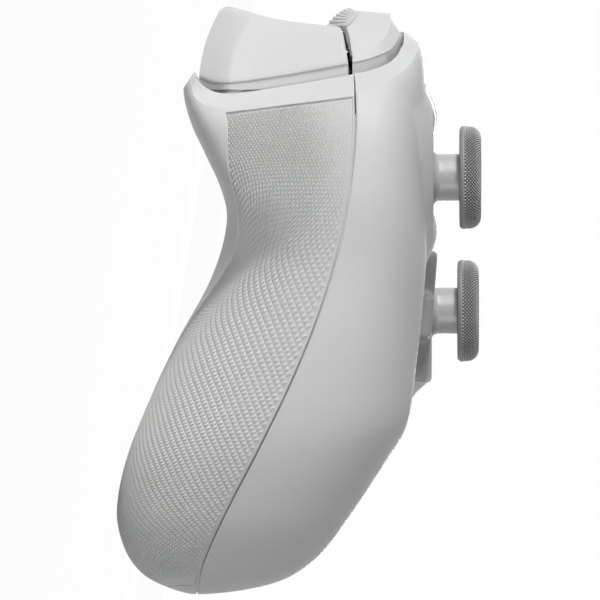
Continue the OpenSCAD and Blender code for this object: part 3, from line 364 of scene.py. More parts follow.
# Rim of the opening for one trigger and bumper: its inner and outer edge as height and distance forward
rim = {
    "innerEdge": [[4, 28], [9, 34], [11.7, 37.3], [13.45, 39.8], [14.1, 38.6], [15.4, 37.2], [17.9, 36.2],
                  [22.1, 36.3], [31.1, 37.7], [40.2, 39.3], [44.7, 40.4], [49, 42]],
    "outerEdge": [[2, 26], [7, 31.5], [10.6, 34.9], [11.6, 36.3], [12.4, 35.4], [13.9, 34.4], [16.9, 33.67],
                  [21, 33.05], [30.5, 34.2], [41, 35.52], [46, 36.2], [50, 36.8]],
    "facing": [8, 8, 8, 8, 8, 8, 10, 12, 15, 18, 20, 22], "fromX": 30.05, "lipX": 55.45, "bayR": 28.75,
    "bayPivot": [37, 42.5], "bayFromY": 28.9, "bayTopZ": 41,
    "bandInner": [[54.6, 39.2, 39], [54.4, 39.5, 40.6], [54.0, 39.85, 42.7], [53.4, 40.3, 44.5],
                  [52.0, 40.8, 46.0], [49.8, 41.75, 47.7], [46.5, 43.2, 49.0], [42, 44.9, 49.8],
                  [35.5, 46.2, 50.05], [26, 47.2, 50.2]],
    "bandOuter": [[35.9, 39], [36.1, 40.6], [36.7, 43.5], [37.7, 46.2], [38.6, 48.0], [40.1, 50.2],
                  [42.0, 51.6], [43.7, 52.4], [45.0, 52.85], [46.4, 53.4]],
    "bandOuterX": [63, 62.5, 61.5, 59.5, 57, 53, 47.5, 41, 34, 25],
    "slot": [[54.4, 40.2], [54.1, 42.6], [53.5, 44.4], [51.1, 46.9], [48.7, 48.4], [45.3, 49.5], [41, 50.0],
             [35, 50.15], [24, 50.2], [12.5, 50.2]],
    "slotLow": 38.5, "slotFloor": 37.2, "fill": [[33, 40], [48, 40], [48, 60], [33, 60]], "fillX": 38,
    "fillInset": 0.9, "outX": 76, "far": 90, "steps": 8, "slotSteps": 6, "flankZ": [16, 44], "bayToAngle": 86,
    "across": [0.04, 0.3, 0.6, 0.85, 1.0], "cornerFrom": 0.7,
    "corner": [[0.35, -0.06], [0.08, -0.02], [-0.12, 0.2], [-0.3, 1.0], [-1, 14]],
    "bandFrom": [[-1.2, 0], [0, 0]], "bandTo": [[-0.3, 0], [0, 0.03], [0.25, 0.4], [1.5, 7]],
    "bandEnd": [[-1.2, 7]], "lipY": 48, "lipZ": [-5, 60], "lipInset": 1.0,
}


def flankX(y, z):
    # How far out the skin lies at a place seen from the side: the last station whose section still
    # holds that place
    s = np.linspace(0.02, 6.4, 900)[None] + 0 * y[:, None]
    oy, iy = alongRows(body["outerY"], s), alongRows(body["innerY"], s)
    c = (2 * y[:, None] - oy - iy) / (oy - iy)
    high, low = (bodyPoint(s, np.clip(c, -1, 1), up) for up in (1, -1))
    room = np.minimum(np.minimum(high[..., 2] - z[:, None], z[:, None] - low[..., 2]), (1 - c) * 30)
    last = np.clip(s.shape[1] - 1 - np.argmax(room[:, ::-1] > 0, 1), 0, s.shape[1] - 2)
    row = np.arange(len(y))
    share = np.clip(room[row, last] / (room[row, last] - room[row, last + 1] + 1e-9), 0, 1)
    found = high[row, last, 0] * (1 - share) + high[row, last + 1, 0] * share
    return np.where((room > 0).any(1), found, 0)


def rimCutter(mirrored):
    # Rings run from inside, over the inner edge to the outer edge, and leave the skin there over a
    # rounded corner
    inner = smoothLine(np.array(rim["innerEdge"])[:, ::-1], rim["steps"])
    inner = np.c_[np.full(len(inner), rim["lipX"]), inner]
    edge = smoothLine(np.array(rim["outerEdge"])[:, ::-1], rim["steps"])
    outer = np.c_[flankX(edge[:, 0], np.clip(edge[:, 1], *rim["flankZ"])), edge]
    turn = np.radians(alongRows(rim["facing"], np.linspace(0, len(rim["facing"]) - 1, len(edge))))
    normal = np.c_[np.cos(turn), np.sin(turn), 0 * turn]
    along = outer - inner
    along /= np.linalg.norm(along, axis=1, keepdims=True)
    rings = [np.c_[np.full(len(inner), rim["fromX"]), inner[:, 1:]], inner]
    rings += [inner + (outer - along * rim["cornerFrom"] - inner) * f for f in rim["across"]]
    rings += [outer - along * a + normal * b for a, b in rim["corner"]]
    closed = []
    for ring in rings:
        far = ring[[-1, 0]].copy()
        far[:, 1] = rim["far"]
        closed.append(np.vstack([ring, far]))
    return loft("rimCutter", closed, True, True, mirrored)


def bandCutter(mirrored):
    # Sections along the opening's edge: out of the opening, across the flat band, and away from the
    # skin beyond it
    inner, edge = smoothLine(rim["bandInner"], rim["steps"]), smoothLine(rim["bandOuter"], rim["steps"])
    givenX = smoothLine(np.array(rim["bandOuterX"])[:, None], rim["steps"])[:, 0]
    outer = np.c_[np.maximum(flankX(edge[:, 0], edge[:, 1]), givenX - 1), edge]
    along = outer - inner
    along /= np.linalg.norm(along, axis=1, keepdims=True)
    normal = np.cross(along, np.gradient(inner + outer, axis=0))
    normal /= np.linalg.norm(normal, axis=1, keepdims=True)
    normal *= np.where((normal * [0.5, 1, 0.6]).sum(1, keepdims=True) < 0, -1, 1)
    steps = [(inner, *p) for p in rim["bandFrom"]] + [(outer, *p) for p in rim["bandTo"]]
    steps += [(inner, *p) for p in rim["bandEnd"]]
    sections = np.stack([base + along * a + normal * b for base, a, b in steps], 1)
    return loft("bandCutter", sections, True, True, mirrored)


def bumperSlot(mirrored):
    curve = smoothLine(rim["slot"], rim["slotSteps"])
    line = np.vstack([[[curve[-1, 0], rim["slotLow"]], [curve[0, 0], rim["slotLow"]]], curve])
    rings = [np.c_[line[:, 0], np.full(len(line), y), line[:, 1]] for y in (rim["slotFloor"], rim["far"])]
    return loft("slot", rings, True, True, mirrored)


def bayCutter(mirrored):
    py, pz = rim["bayPivot"]
    a = np.linspace(np.arcsin((rim["bayFromY"] - py) / rim["bayR"]), np.radians(rim["bayToAngle"]), 60)
    arc = np.c_[py + rim["bayR"] * np.sin(a), pz - rim["bayR"] * np.cos(a)]
    profile = np.vstack([arc, [[arc[-1, 0], rim["bayTopZ"]], [rim["bayFromY"], rim["bayTopZ"]]]])
    return prismX("bayCutter", profile, rim["fromX"], rim["lipX"], mirrored)


def lips(up):
    # Solid flank beside the triggers, so that the rim is a face and not a thin edge
    low, high = rim["lipZ"]
    box = [[rim["bayFromY"], low], [rim["lipY"], low], [rim["lipY"], high], [rim["bayFromY"], high]]
    blocks = prismPair("lip", box, rim["lipX"], rim["outX"])
    return combine(bodyCore("lipCore", up, rim["lipInset"]), [blocks], "INTERSECT")


# Openings in the face
face = {
    "cluster": [40, 22.4], "spread": 9.9, "buttonHole": 5.75, "holeChamfer": [6.4, 53.35, 54.2],
    "home": [0, 31.7], "haloHole": 6.85, "small": [[-11.5, 22.5], [11.5, 22.5], [0, 15.5]],
    "smallHole": [7.0, 4.0], "smallChamfer": [0.35, 53.6, 54.1], "cut": [30, 70],
    "jack": [-23, 31.6, 3.15, 6], "leftCollar": [[9, 55.3], [12.2, 55.3], [12.55, 55.15], [14, 54.55],
                                                 [16, 53.75], [18, 52.85], [20, 51.75],
                   [22, 50.4], [22, 49.2], [9, 49.2], [9, 55.3]],
    "rightCollar": [[9, 55.3], [12.2, 55.3], [12.55, 55.05], [13.5, 53.7], [14.9, 52.3], [16.3, 51.4],
                    [17.7, 50.7], [19.2, 50.35], [20.6, 50.2], [20.6, 49.2], [9, 49.2], [9, 55.3]],
    "opening": [[0, 41], [10.6, 41], [10.6, 53.3], [11.1, 54.5], [11.9, 55.2], [12.2, 56], [12.2, 70],
                [0, 70]],
    "domeRoom": 12.7, "pad": [-20, -3], "padFloor": 49.5, "padWell": 14.2, "padLean": 4.5,
    "wellBlock": [15.7, 9, 1.5], "wellInset": 1.0, "wellCut": 20, "padStem": [5.2, 30, 60],
}
clusterPlaces = [np.array(face["cluster"]) + face["spread"] * np.array(d)
                 for d in ((0, 1), (0, -1), (1, 0), (-1, 0))]


def stadium(l, w, heights, radii, centre):
    # Round-ended slot: the end circles change radius from ring to ring
    a = aroundTurn(48)
    shift = np.where(np.cos(a) >= 0, 1, -1) * (l - w) / 2
    return np.stack([np.stack([centre[0] + shift + r * np.cos(a), centre[1] + r * np.sin(a), 0 * a + z], 1)
                     for z, r in zip(heights, radii)])


def ballTool(centre, r):
    t = np.linspace(-np.pi / 2, np.pi / 2, 40)
    return lathe("ball", np.c_[np.cos(t) * r, np.sin(t) * r], centre, 72)


def faceHoles():
    # One cutter for the openings of the sticks, the buttons and the headset jack
    low, high = face["cut"]
    holes = [lathe("opening", face["opening"], [p[0], p[1], 0], 128) for p in stickPivots.values()]
    r = face["buttonHole"]
    wide, fromZ, toZ = face["holeChamfer"]
    profile = [[0, low], [r, low], [r, fromZ], [wide, toZ], [wide, high], [0, high]]
    holes += [lathe("hole", profile, [*p, 0], 72) for p in clusterPlaces]
    r = face["haloHole"]
    holes.append(lathe("hole", [[0, low], [r, low], [r, high], [0, high]], [*face["home"], 0], 72))
    l, w = face["smallHole"]
    more, fromZ, toZ = face["smallChamfer"]
    radii = [w / 2, w / 2, w / 2 + more, w / 2 + more]
    for p in face["small"]:
        holes.append(loft("hole", stadium(l, w, [low, fromZ, toZ, high], radii, p), True, True))
    jackY, jackZ, r, reach = face["jack"]
    jack = lathe("jack", [[0, -reach], [r, -reach], [r, reach], [0, reach]], [0, 0, 0], 48)
    turned = cornersOf(jack.data) @ np.array([[1, 0, 0], [0, 0, 1], [0, -1, 0]])
    jack.data.vertices.foreach_set("co", (turned + [0, jackY, jackZ]).ravel())
    return joinPieces(holes[0], holes[1:] + [jack])


def buildFrontShell():
    # The half shell gains the pad's well, the corners over the bumpers and the collars, then all is cut out
    shell = shellHalf("front_shell_skin", 1)
    x, y = face["pad"]
    r, t, below = face["wellBlock"]
    well = lathe("well", [[0, 0], [r, 0], [r, t], [0, t]], [x, y, face["padFloor"] - below])
    collars = [lathe("collar", face[side + "Collar"], [p[0], p[1], 0], 128)
               for side, p in stickPivots.items()]
    inside = combine(bodyCore("wellCore", 1, face["wellInset"]), [well], "INTERSECT")
    corner = prismPair("corner", rim["fill"], rim["fillX"], rim["outX"])
    corner = combine(bodyCore("cornerCore", 1, rim["fillInset"]), [corner], "INTERSECT")
    combine(shell, [inside, corner] + collars, "UNION")
    combine(shell, [faceHoles()])
    combine(shell, [ballTool(p, face["domeRoom"]) for p in stickPivots.values()])
    r, t = face["padWell"], face["wellCut"]
    cut = lathe("padCut", [[0, 0], [r, 0], [r, t], [0, t]], [x, y, face["padFloor"]], 96, face["padLean"])
    r, low, high = face["padStem"]
    stem = lathe("padStem", [[0, low], [r, low], [r, high], [0, high]], [x, y, 0])
    combine(shell, [cut, stem])
    for mirrored in (False, True):
        combine(shell, [bumperSlot(mirrored), bandCutter(mirrored)])
    return shell


# Grip skin: a raised lattice of diamonds let into the outside of each grip
gripSkin = {
    "fromRow": 3.75, "toRow": 10.62, "closer": 0.12, "topLine": [32.67, 18.42, 0.1264, -2],
    "topRows": [3, 5.4], "topOver": 1.2, "rows": 148, "cols": 72, "sink": 0.42, "bed": 0.02, "peak": 0.36,
    "depth": 1.3, "seamEdge": 0.35, "mostOfRun": 0.93, "rowGap": 0.012, "edgeGap": 0.1,
    "pocketGrid": [90, 40], "pocketOut": 1.5, "flush": [10.0, 0.55, 0.36], "gripShadeFade": [0.5, 5, 3],
    "seamPeak": 0.3, "seamSpread": [2.4, 4.2, 3.4, 0.1], "tipShade": 0.55,
    "width": [[3.6, 22.8], [4.2, 22.6], [4.8, 22.4], [5.2, 24.5], [5.45, 30], [5.75, 41], [6.2, 47],
              [6.7, 47.5], [7.2, 46.5], [8, 45.5], [9, 42.5], [9.8, 35], [10.3, 27], [10.7, 18]],
}


def gripGrid(fromRow, toRow, rows, cols, grow=0.0):
    # Rows step along the grip and columns step by length from the seam round its back
    g = gripSkin
    along = np.linspace(0, 1, rows)
    s = fromRow + (toRow - fromRow) * (along + g["closer"] * np.sin(np.pi * along) * along)
    c = np.sin(np.linspace(np.pi / 2, -np.pi / 2, 500))
    # The first row follows a straight top line seen from the side, and later rows leave it step by step
    fromY, fromZ, slope, least = g["topLine"]
    tries = np.linspace(*g["topRows"], 240)
    grid = bodyPoint(tries[:, None] + 0 * c, c + 0 * tries[:, None], -1)
    over = grid[..., 1] - fromY - slope * np.maximum(grid[..., 2] - fromZ, least)
    start = np.array([np.interp(0, -column, tries) for column in over.T])
    later = (start - g["fromRow"]) * (1 - smoothStep((s - fromRow) / g["topOver"]))[:, None]
    lines = bodyPoint(s[:, None] + later, c + 0 * s[:, None], -1) - [0, 0, body["seamGap"] / 2]
    steps = np.linalg.norm(np.diff(lines, axis=1), axis=-1)
    run = np.concatenate([np.zeros((rows, 1)), np.cumsum(steps, 1)], 1)
    width = np.minimum(throughPoints(s, g["width"]), g["mostOfRun"] * run[:, -1]) + grow
    want = g["seamEdge"] - grow + (width - g["seamEdge"] + grow)[:, None] * np.linspace(0, 1, cols)
    pick = np.array([np.interp(w, r, np.arange(len(r))) for w, r in zip(want, run)])
    whole = np.clip(pick.astype(int), 0, lines.shape[1] - 2)
    part = (pick - whole)[..., None]
    row = np.arange(rows)[:, None]
    pts = lines[row, whole] * (1 - part) + lines[row, whole + 1] * part
    normal = np.cross(np.gradient(pts, axis=0), np.gradient(pts, axis=1))
    normal /= np.linalg.norm(normal, axis=-1, keepdims=True)
    middle = bodyPoint(s, 0 * s, 1)[:, None]
    normal *= np.where((normal * (pts - middle)).sum(-1, keepdims=True) < 0, -1, 1)
    return pts, normal, s


def slab(name, low, high, mirrored, highFaces=None, relief=None):
    # Two skins over the same grid, closed round the edge
    rows, cols = low.shape[:2]
    count = rows * cols
    index = np.arange(count).reshape(rows, cols)
    rimLine = np.r_[index[0, :-1], index[:-1, -1], index[-1, :0:-1], index[:0:-1, 0]]
    nextLine = np.roll(rimLine, -1)
    pts = np.concatenate([low.reshape(-1, 3), high.reshape(-1, 3)])
    top = gridFaces(rows, cols, start=count) if highFaces is None else highFaces + count
    faces = [gridFaces(rows, cols, flip=True), top,
             np.stack([rimLine, nextLine, nextLine + count, rimLine + count], 1)]
    return makePiece(name, pts * ([-1, 1, 1] if mirrored else [1, 1, 1]), faces,
                     relief=None if relief is None else np.r_[0 * relief.ravel(), relief.ravel()])


def gripPocket(mirrored):
    g = gripSkin
    pts, normal, _ = gripGrid(g["fromRow"], g["toRow"], *g["pocketGrid"])
    return slab("pocket", pts - normal * g["sink"], pts + normal * g["pocketOut"], mirrored)


def gripPiece(name, mirrored):
    # Every second grid point is a peak, lower near the seam and flush with the shell at the tip; valley points
    # carry painted shade
    g = gripSkin
    rows, cols = g["rows"] + 1, g["cols"] + 1
    pts, normal, s = gripGrid(g["fromRow"] + g["rowGap"], g["toRow"] - g["rowGap"], rows, cols, -g["edgeGap"])
    i, j = np.meshgrid(np.arange(rows), np.arange(cols), indexing="ij")
    raised = ((i + j) % 2 == 0) & (i > 0) & (j > 0) & (i < rows - 1) & (j < cols - 1)
    fromRow, overRows, flush = g["flush"]
    fade = 1 - smoothStep((s - fromRow) / overRows)
    less, fromRow, overRows = g["gripShadeFade"]
    gripShadeFade = 1 - less * smoothStep((s - fromRow) / overRows)
    spread, fromRow, overRows, back = g["seamSpread"]
    away = smoothStep(j / cols * spread + (s[:, None] - fromRow) / overRows - back)
    nearSeam = g["seamPeak"] + (1 - g["seamPeak"]) * away
    height = g["bed"] - g["sink"] + g["peak"] * raised * fade[:,
                                                              None] * nearSeam + (1 - fade[:, None]) * flush
    quads = gridFaces(rows, cols)
    diamonds = splitDiamonds(quads, (quads[:, 0] // cols + quads[:, 0] % cols) % 2 == 0)
    # Painted shade: relief is low at valley points and stays patterned where the peaks fade out towards the tip
    unshaded = 1 - ((g["tipShade"] + (1 - g["tipShade"]) * fade) * gripShadeFade)[:, None]
    relief = (1 + unshaded) / 2 + (raised - 0.5) * (1 - unshaded) * nearSeam
    return slab(name, pts - normal * g["depth"], pts + normal * height[..., None], mirrored, diamonds, relief)


# Back shell with its screw wells, trigger bays, grip pockets and the cable opening
backHoles = {
    "posts": [[60, -37.5], [44, -10]], "postR": 4.6, "postTaper": 1, "postFoot": -5, "postShort": 1,
    "postInset": 1.0, "wellR": 2.7, "wellFoot": -9, "wellFlare": [0.5, 2], "shankR": 1.4, "shankOver": 5,
    "seat": 8, "inlet": [9.7, 4.1, 38.2], "inletSteps": [[30, 0], [47.0, 0], [47.6, 0.5], [60, 0.5]],
    "tongue": [19.2, 34.7, 36.7], "tongueY": [27, 45],
}


def screwPosts():
    # Posts that stand on the back and the stepped wells through them
    h = backHoles
    posts, wells = [], []
    flare, flareZ = h["wellFlare"]
    for px, py in h["posts"]:
        seam = float(throughPoints(py, body["seam"]))
        top, seat, over = seam - h["postShort"], seam - h["seat"], seam + h["shankOver"]
        foot, r, well, shank = h["postFoot"], h["postR"], h["wellR"], h["shankR"]
        post = [[0, foot], [r + h["postTaper"], foot], [r - h["postTaper"], top], [0, top]]
        hole = [[0, h["wellFoot"]], [well + flare, h["wellFoot"]], [well, flareZ], [well, seat],
                [shank, seat], [shank, over], [0, over]]
        for side in (-1, 1):
            posts.append(lathe("post", post, [side * px, py, 0], 40))
            wells.append(lathe("wellHole", hole, [side * px, py, 0], 40))
    return joinPieces(posts[0], posts[1:]), joinPieces(wells[0], wells[1:])


def buildBackShell():
    shell = shellHalf("back_shell_skin", -1)
    h = backHoles
    posts, wells = screwPosts()
    inside = combine(bodyCore("postCore", -1, h["postInset"]), [posts], "INTERSECT")
    combine(shell, [inside, lips(-1)], "UNION")
    combine(shell, [wells])
    w, t, z = h["inlet"]
    y, grow = np.array(h["inletSteps"]).T
    rings = stadium(w, t, y, t / 2 + grow, (0, z))[..., [0, 2, 1]]
    combine(shell, [loft("inlet", rings, True, True)])
    w, low, high = h["tongue"]
    fromY, toY = h["tongueY"]
    tongue = [[fromY, low], [toY, low], [toY, high], [fromY, high]]
    combine(shell, [prismX("tongue", tongue, -w / 2, w / 2)])
    for mirrored in (False, True):
        combine(shell, [rimCutter(mirrored), bayCutter(mirrored), gripPocket(mirrored)])
    return shell


# Trigger: a hollow cap with a hooked side profile, a finger face and a skirt that runs down behind the rim
trigger = {
    "back": [[36.8, 14.2], [40, 14.36], [43.5, 14.95], [46.8, 15.95], [49.4, 17.1]],
    "tip": [[50.7, 17.75], [51.4, 18.6], [51.5, 19.6], [51.2, 20.9]],
    "finger": [[50.5, 22.9], [49.75, 25.3], [49.1, 27.9], [48.6, 31], [48.25, 34.5], [47.95, 38]],
    "end": [[47.6, 39.0], [46.8, 39.45], [44, 39.95], [41.2, 40.4], [38.4, 40.4]], "base": [[36.8, 38]],
    "centre": [42.4, 28], "outX": 54.8, "taper": [[0, 0], [0.6, 0.25], [3, 1.9], [6.5, 4.5], [10, 7.4],
                                                  [13.5, 10.6]],
    "innerPlanX": [[30, 30.5], [44, 30.5], [49, 31.6], [52.5, 34]],
    "skirtTop": [[12, 40.2], [14.4, 39.15], [16.95, 38.15], [22.1, 38.4], [31.1, 39.75], [40.4, 41.4]],
    "skirtStep": 0.4, "skirtSlope": 0.2, "backRound": 5.5, "backDrop": 7.2, "fingerRound": 1.5,
    "endRound": 0.7, "hollow": [[20, 16.8], [36.8, 16.8], [46.6, 19.2], [47.6, 20.7], [45.2, 37.6], [40, 38],
                                [20, 38]],
    "skirt": [[37.6, 15.4], [36.4, 15.9], [35.4, 17.6], [34, 21], [33.6, 30], [34.6, 37], [37.6, 38.8]],
    "cols": 260, "rings": 46, "ringPower": 1.9, "wallRings": 44, "grip": 0.1, "gripped": [47.2, 22, 38.8],
    "innerRound": 0.8, "innerShare": 0.06, "pivot": [37, 42.5], "backR": 28.3, "backPower": 1.4,
    "fingerFromZ": 18, "stepOver": 0.45, "slopeOver": 1.8,
    "endLine": [[30, 40.4], [41.2, 40.4], [44, 39.95], [46.8, 39.45], [48, 39]], "straight": 6,
    "roomX": [32.4, 44], "earsX": [32.4, 48.6],
    "ears": [[29, 29], [37.5, 29], [41.3, 33], [41.3, 46], [29, 46]], "skirtIn": [2.0, 0.02],
    "hub": [[40.6, 1.6], [40.6, 2.6], [45.7, 2.6], [45.7, 1.6], [40.6, 1.6]],
    "web": [[38.3, 40.7], [39.2, 41.2], [45.6, 38.9], [45.2, 37.4], [39.2, 37.4]], "webX": [43.8, 45.7],
}


def roundOff(radius, inside):
    # How far a rounded edge falls back at a distance inside that edge
    u = np.clip((radius - inside) / radius, 0, 1)
    return radius * (1 - np.sqrt(1 - u**2 * 0.99))


def triggerOuterX(y, z):
    # Plan outline less the rounding to the back, to the finger face and to the end, stepped in below
    # the skirt line
    t = trigger
    skirtTop = throughPoints(z, t["skirtTop"])
    x = t["outX"] - throughPoints(np.maximum(y - skirtTop, 0), t["taper"])
    below = np.maximum(skirtTop - y, 0)
    x = x - t["skirtStep"] * smoothStep(below / t["stepOver"])
    x = x + t["skirtSlope"] * np.minimum(below, t["slopeOver"])
    fromBack = t["backR"] - np.hypot(y - t["pivot"][0], z - t["pivot"][1])
    u = np.clip((t["backRound"] - fromBack) / t["backRound"], 0, 1)
    x = x - t["backDrop"] * u ** t["backPower"]
    fingerY = throughPoints(z, np.array(t["tip"][1:] + t["finger"] + t["end"][:1])[:, ::-1])
    x = x - roundOff(t["fingerRound"], fingerY - y) * (z > t["fingerFromZ"])
    return x - roundOff(t["endRound"], throughPoints(y, t["endLine"]) - z)


def buildTrigger(name, mirrored):
    # Rings grow from the middle of the outer side to the outline, cross over to the inner side and close there
    t = trigger
    corner = np.array(t["back"] + t["tip"] + t["finger"] + t["end"] + t["base"], float)
    curved = smoothLine(corner[:-t["straight"]], 12)
    outline = evenly(np.vstack([curved, corner[-t["straight"]:]]), t["cols"], True)
    centre = np.array(t["centre"])
    shrink = np.linspace(1, 0, t["rings"]) ** t["ringPower"]
    rings = []
    for f in shrink:
        p = outline + (centre - outline) * f
        rings.append(np.c_[triggerOuterX(p[:, 0], p[:, 1]), p])
    inward = centre - outline
    inward /= np.linalg.norm(inward, axis=1, keepdims=True)
    leastY, leastZ, mostZ = t["gripped"]
    onFinger = (outline[:, 0] > leastY) & (outline[:, 1] > leastZ) & (outline[:, 1] < mostZ)
    outerX = rings[-1][:, 0]
    innerX = throughPoints(outline[:, 0], t["innerPlanX"]) + t["innerRound"]
    column = np.arange(len(outline))
    for k, f in enumerate(np.linspace(0, 1, t["wallRings"])[1:-1]):
        raised = onFinger * ((column + k) % 2 == 0) * t["grip"]
        rings.append(np.c_[outerX + (innerX - outerX) * f, outline - inward * raised[:, None]])
    for f in shrink[::-1]:
        p = outline + (centre - outline) * f
        edge = t["innerRound"] * (1 - np.clip(f / t["innerShare"], 0, 1)) ** 2
        rings.append(np.c_[throughPoints(p[:, 0], t["innerPlanX"]) + edge, p])
    cap = loft(name, rings, mirrored=mirrored)
    room = prismX("room", t["hollow"], *t["roomX"], mirrored)
    ears = prismX("ears", t["ears"], *t["earsX"], mirrored)
    combine(cap, [room, ears])
    skirt = evenly(np.array(t["skirt"]), 90, True)
    skirtX = triggerOuterX(skirt[:, 0], skirt[:, 1])
    plate = loft("skirt", [np.c_[skirtX - d, skirt] for d in t["skirtIn"]], True, True, mirrored)
    hub = drumX("hub", t["hub"], t["pivot"], 40, mirrored=mirrored)
    web = prismX("web", t["web"], *t["webX"], mirrored)
    return combine(cap, [plate, hub, web], "UNION")


# Bumper: a curved cap with a broad chamfer along its upper edge and outer end, and a ribbed nose below
bumper = {
    "plan": [[14.1, 51.0], [22, 51.1], [30, 50.8], [38, 49.8], [45, 47.7], [50, 45.1], [53.6, 42.0],
             [55, 40.2]],
    "lowZ": [[14, 36.4], [19, 36.5], [23, 37.1], [27, 38.2], [30.5, 39.3], [34, 39.62], [40, 39.85],
             [44, 40.15], [48, 40.6], [52, 41], [55, 41.4]],
    "underZ": 41.1, "noseZ": 36.4, "noseRound": 3.8, "noseY": 48.05, "middleZ": 44.4, "lean": 0.09,
    "faceEdge": [[42.6, 41.1], [43.3, 42.6], [43.9, 43.9], [44.8, 45.5], [46.2, 46.9], [47.5, 47.5],
                 [48.7, 47.8], [50.0, 47.8]],
    "chamferEdge": [[53.9, 41.6, 41.1], [53.6, 41.85, 42.4], [53.1, 42.2, 43.9], [50.6, 43.2, 46.5],
                    [48.2, 44.0, 47.9], [44.7, 45.5, 49.0], [40.8, 46.6, 49.5], [34.5, 47.2, 49.7],
                    [14.1, 47.3, 49.8]],
    "skirtDrop": 2.5, "ribs": 7, "ribR": 0.36, "ribFrom": 16, "ribEnd": [[42.5, 40.3], [31.5, 42.0]],
    "ribSides": 10, "ribPoints": 50, "ribShares": [0.05, 1], "ribRise": [0.15, 3.8], "ribSink": 0.02,
    "ribTaper": 8, "triggerEnd": [[40, 40.4], [41.2, 40.4], [44, 39.95], [46.8, 39.45], [47.6, 39.0],
                                  [47.95, 38]],
    "triggerRoom": 0.35, "leanFrom": 40.4, "noseFall": [1.5, 0.3, 6], "steps": 24, "turnX": 20, "snap": 0.05,
    "endZ": 47.8, "middleIn": [4, 9], "rings": 22, "ringPower": 1.3, "edgeIn": 0.12,
    "chamferSteps": [0.06, 0.5, 0.94, 1.0], "stepIn": 0.25, "stepX": [44, 6],
    "noseBack": [[28, 47.75], [30, 48.35], [33, 48.35], [36, 42.8]], "noseX": 33, "wallIn": 2.4,
    "leastWall": 0.15, "endX": 48, "backY": [42.8, 43.4], "closeX": 47, "stud": [16.5, 41],
    "hub": [[1.26, 41.1], [2.4, 41.1], [2.4, 48], [1.26, 48], [1.26, 41.1]],
    "arm": [[42.8, 41.2], [45.5, 41.2], [45.5, 47.9], [42.8, 47.9]], "armX": [14.3, 18.7],
    "grooves": [0.1, 0.5, 0.6, 0.25],
}


def bumperPlan():
    # Length along the plan's line, its points and its outward normals
    fine = evenly(smoothLine(bumper["plan"], 30), 400)
    run = np.r_[0, np.cumsum(np.linalg.norm(np.diff(fine, axis=0), axis=1))]
    tangent = np.gradient(fine, axis=0)
    tangent /= np.linalg.norm(tangent, axis=1, keepdims=True)
    return run, fine, np.c_[-tangent[:, 1], tangent[:, 0]]


planRun, planLine, planOut = bumperPlan()


def onBumper(length, z, depth):
    # A point at a length along the plan and a height, moved in along the plan's normal
    at = [np.interp(length, planRun, col) for col in (*planLine.T, *planOut.T)]
    return np.stack([at[0] - at[2] * depth, at[1] - at[3] * depth, z + 0 * at[0]], -1)


def noseLow(length):
    return throughPoints(np.interp(length, planRun, planLine[:, 0]), bumper["lowZ"])


def faceLean(z):
    return bumper["lean"] * np.maximum(z - bumper["leanFrom"], 0)


def noseDepth(length, z):
    # The face leans back towards its upper edge, and the nose falls back towards its lower edge
    u = np.clip((noseLow(length) + bumper["noseRound"] - z) / bumper["noseRound"], 0, 1)
    drop = np.maximum(np.interp(length, planRun, planLine[:, 1]) - bumper["noseY"], 0)
    power, lip, lipPower = bumper["noseFall"]
    return drop * u**power + lip * u**lipPower + faceLean(z)


def bumperEdge():
    # The face's upper edge as length along the plan and height, from the outer to the inner end
    b = bumper
    wanted = np.array(b["faceEdge"])
    turned = planLine[:, 0] > b["turnX"]
    heights = wanted[:, 1:] + 0 * planRun[None, turned]
    forward = onBumper(planRun[turned], heights, faceLean(heights))[..., 1]
    at = np.array([np.interp(y, line[::-1], planRun[turned][::-1]) for y, line in zip(wanted[:, 0], forward)])
    edge = smoothLine(np.vstack([np.c_[at, wanted[:, 1]], [[0, b["endZ"]]]]), b["steps"])
    edge[:, 0] = np.where(edge[:, 0] < b["snap"], 0, np.minimum(edge[:, 0], planRun[-1]))
    return edge


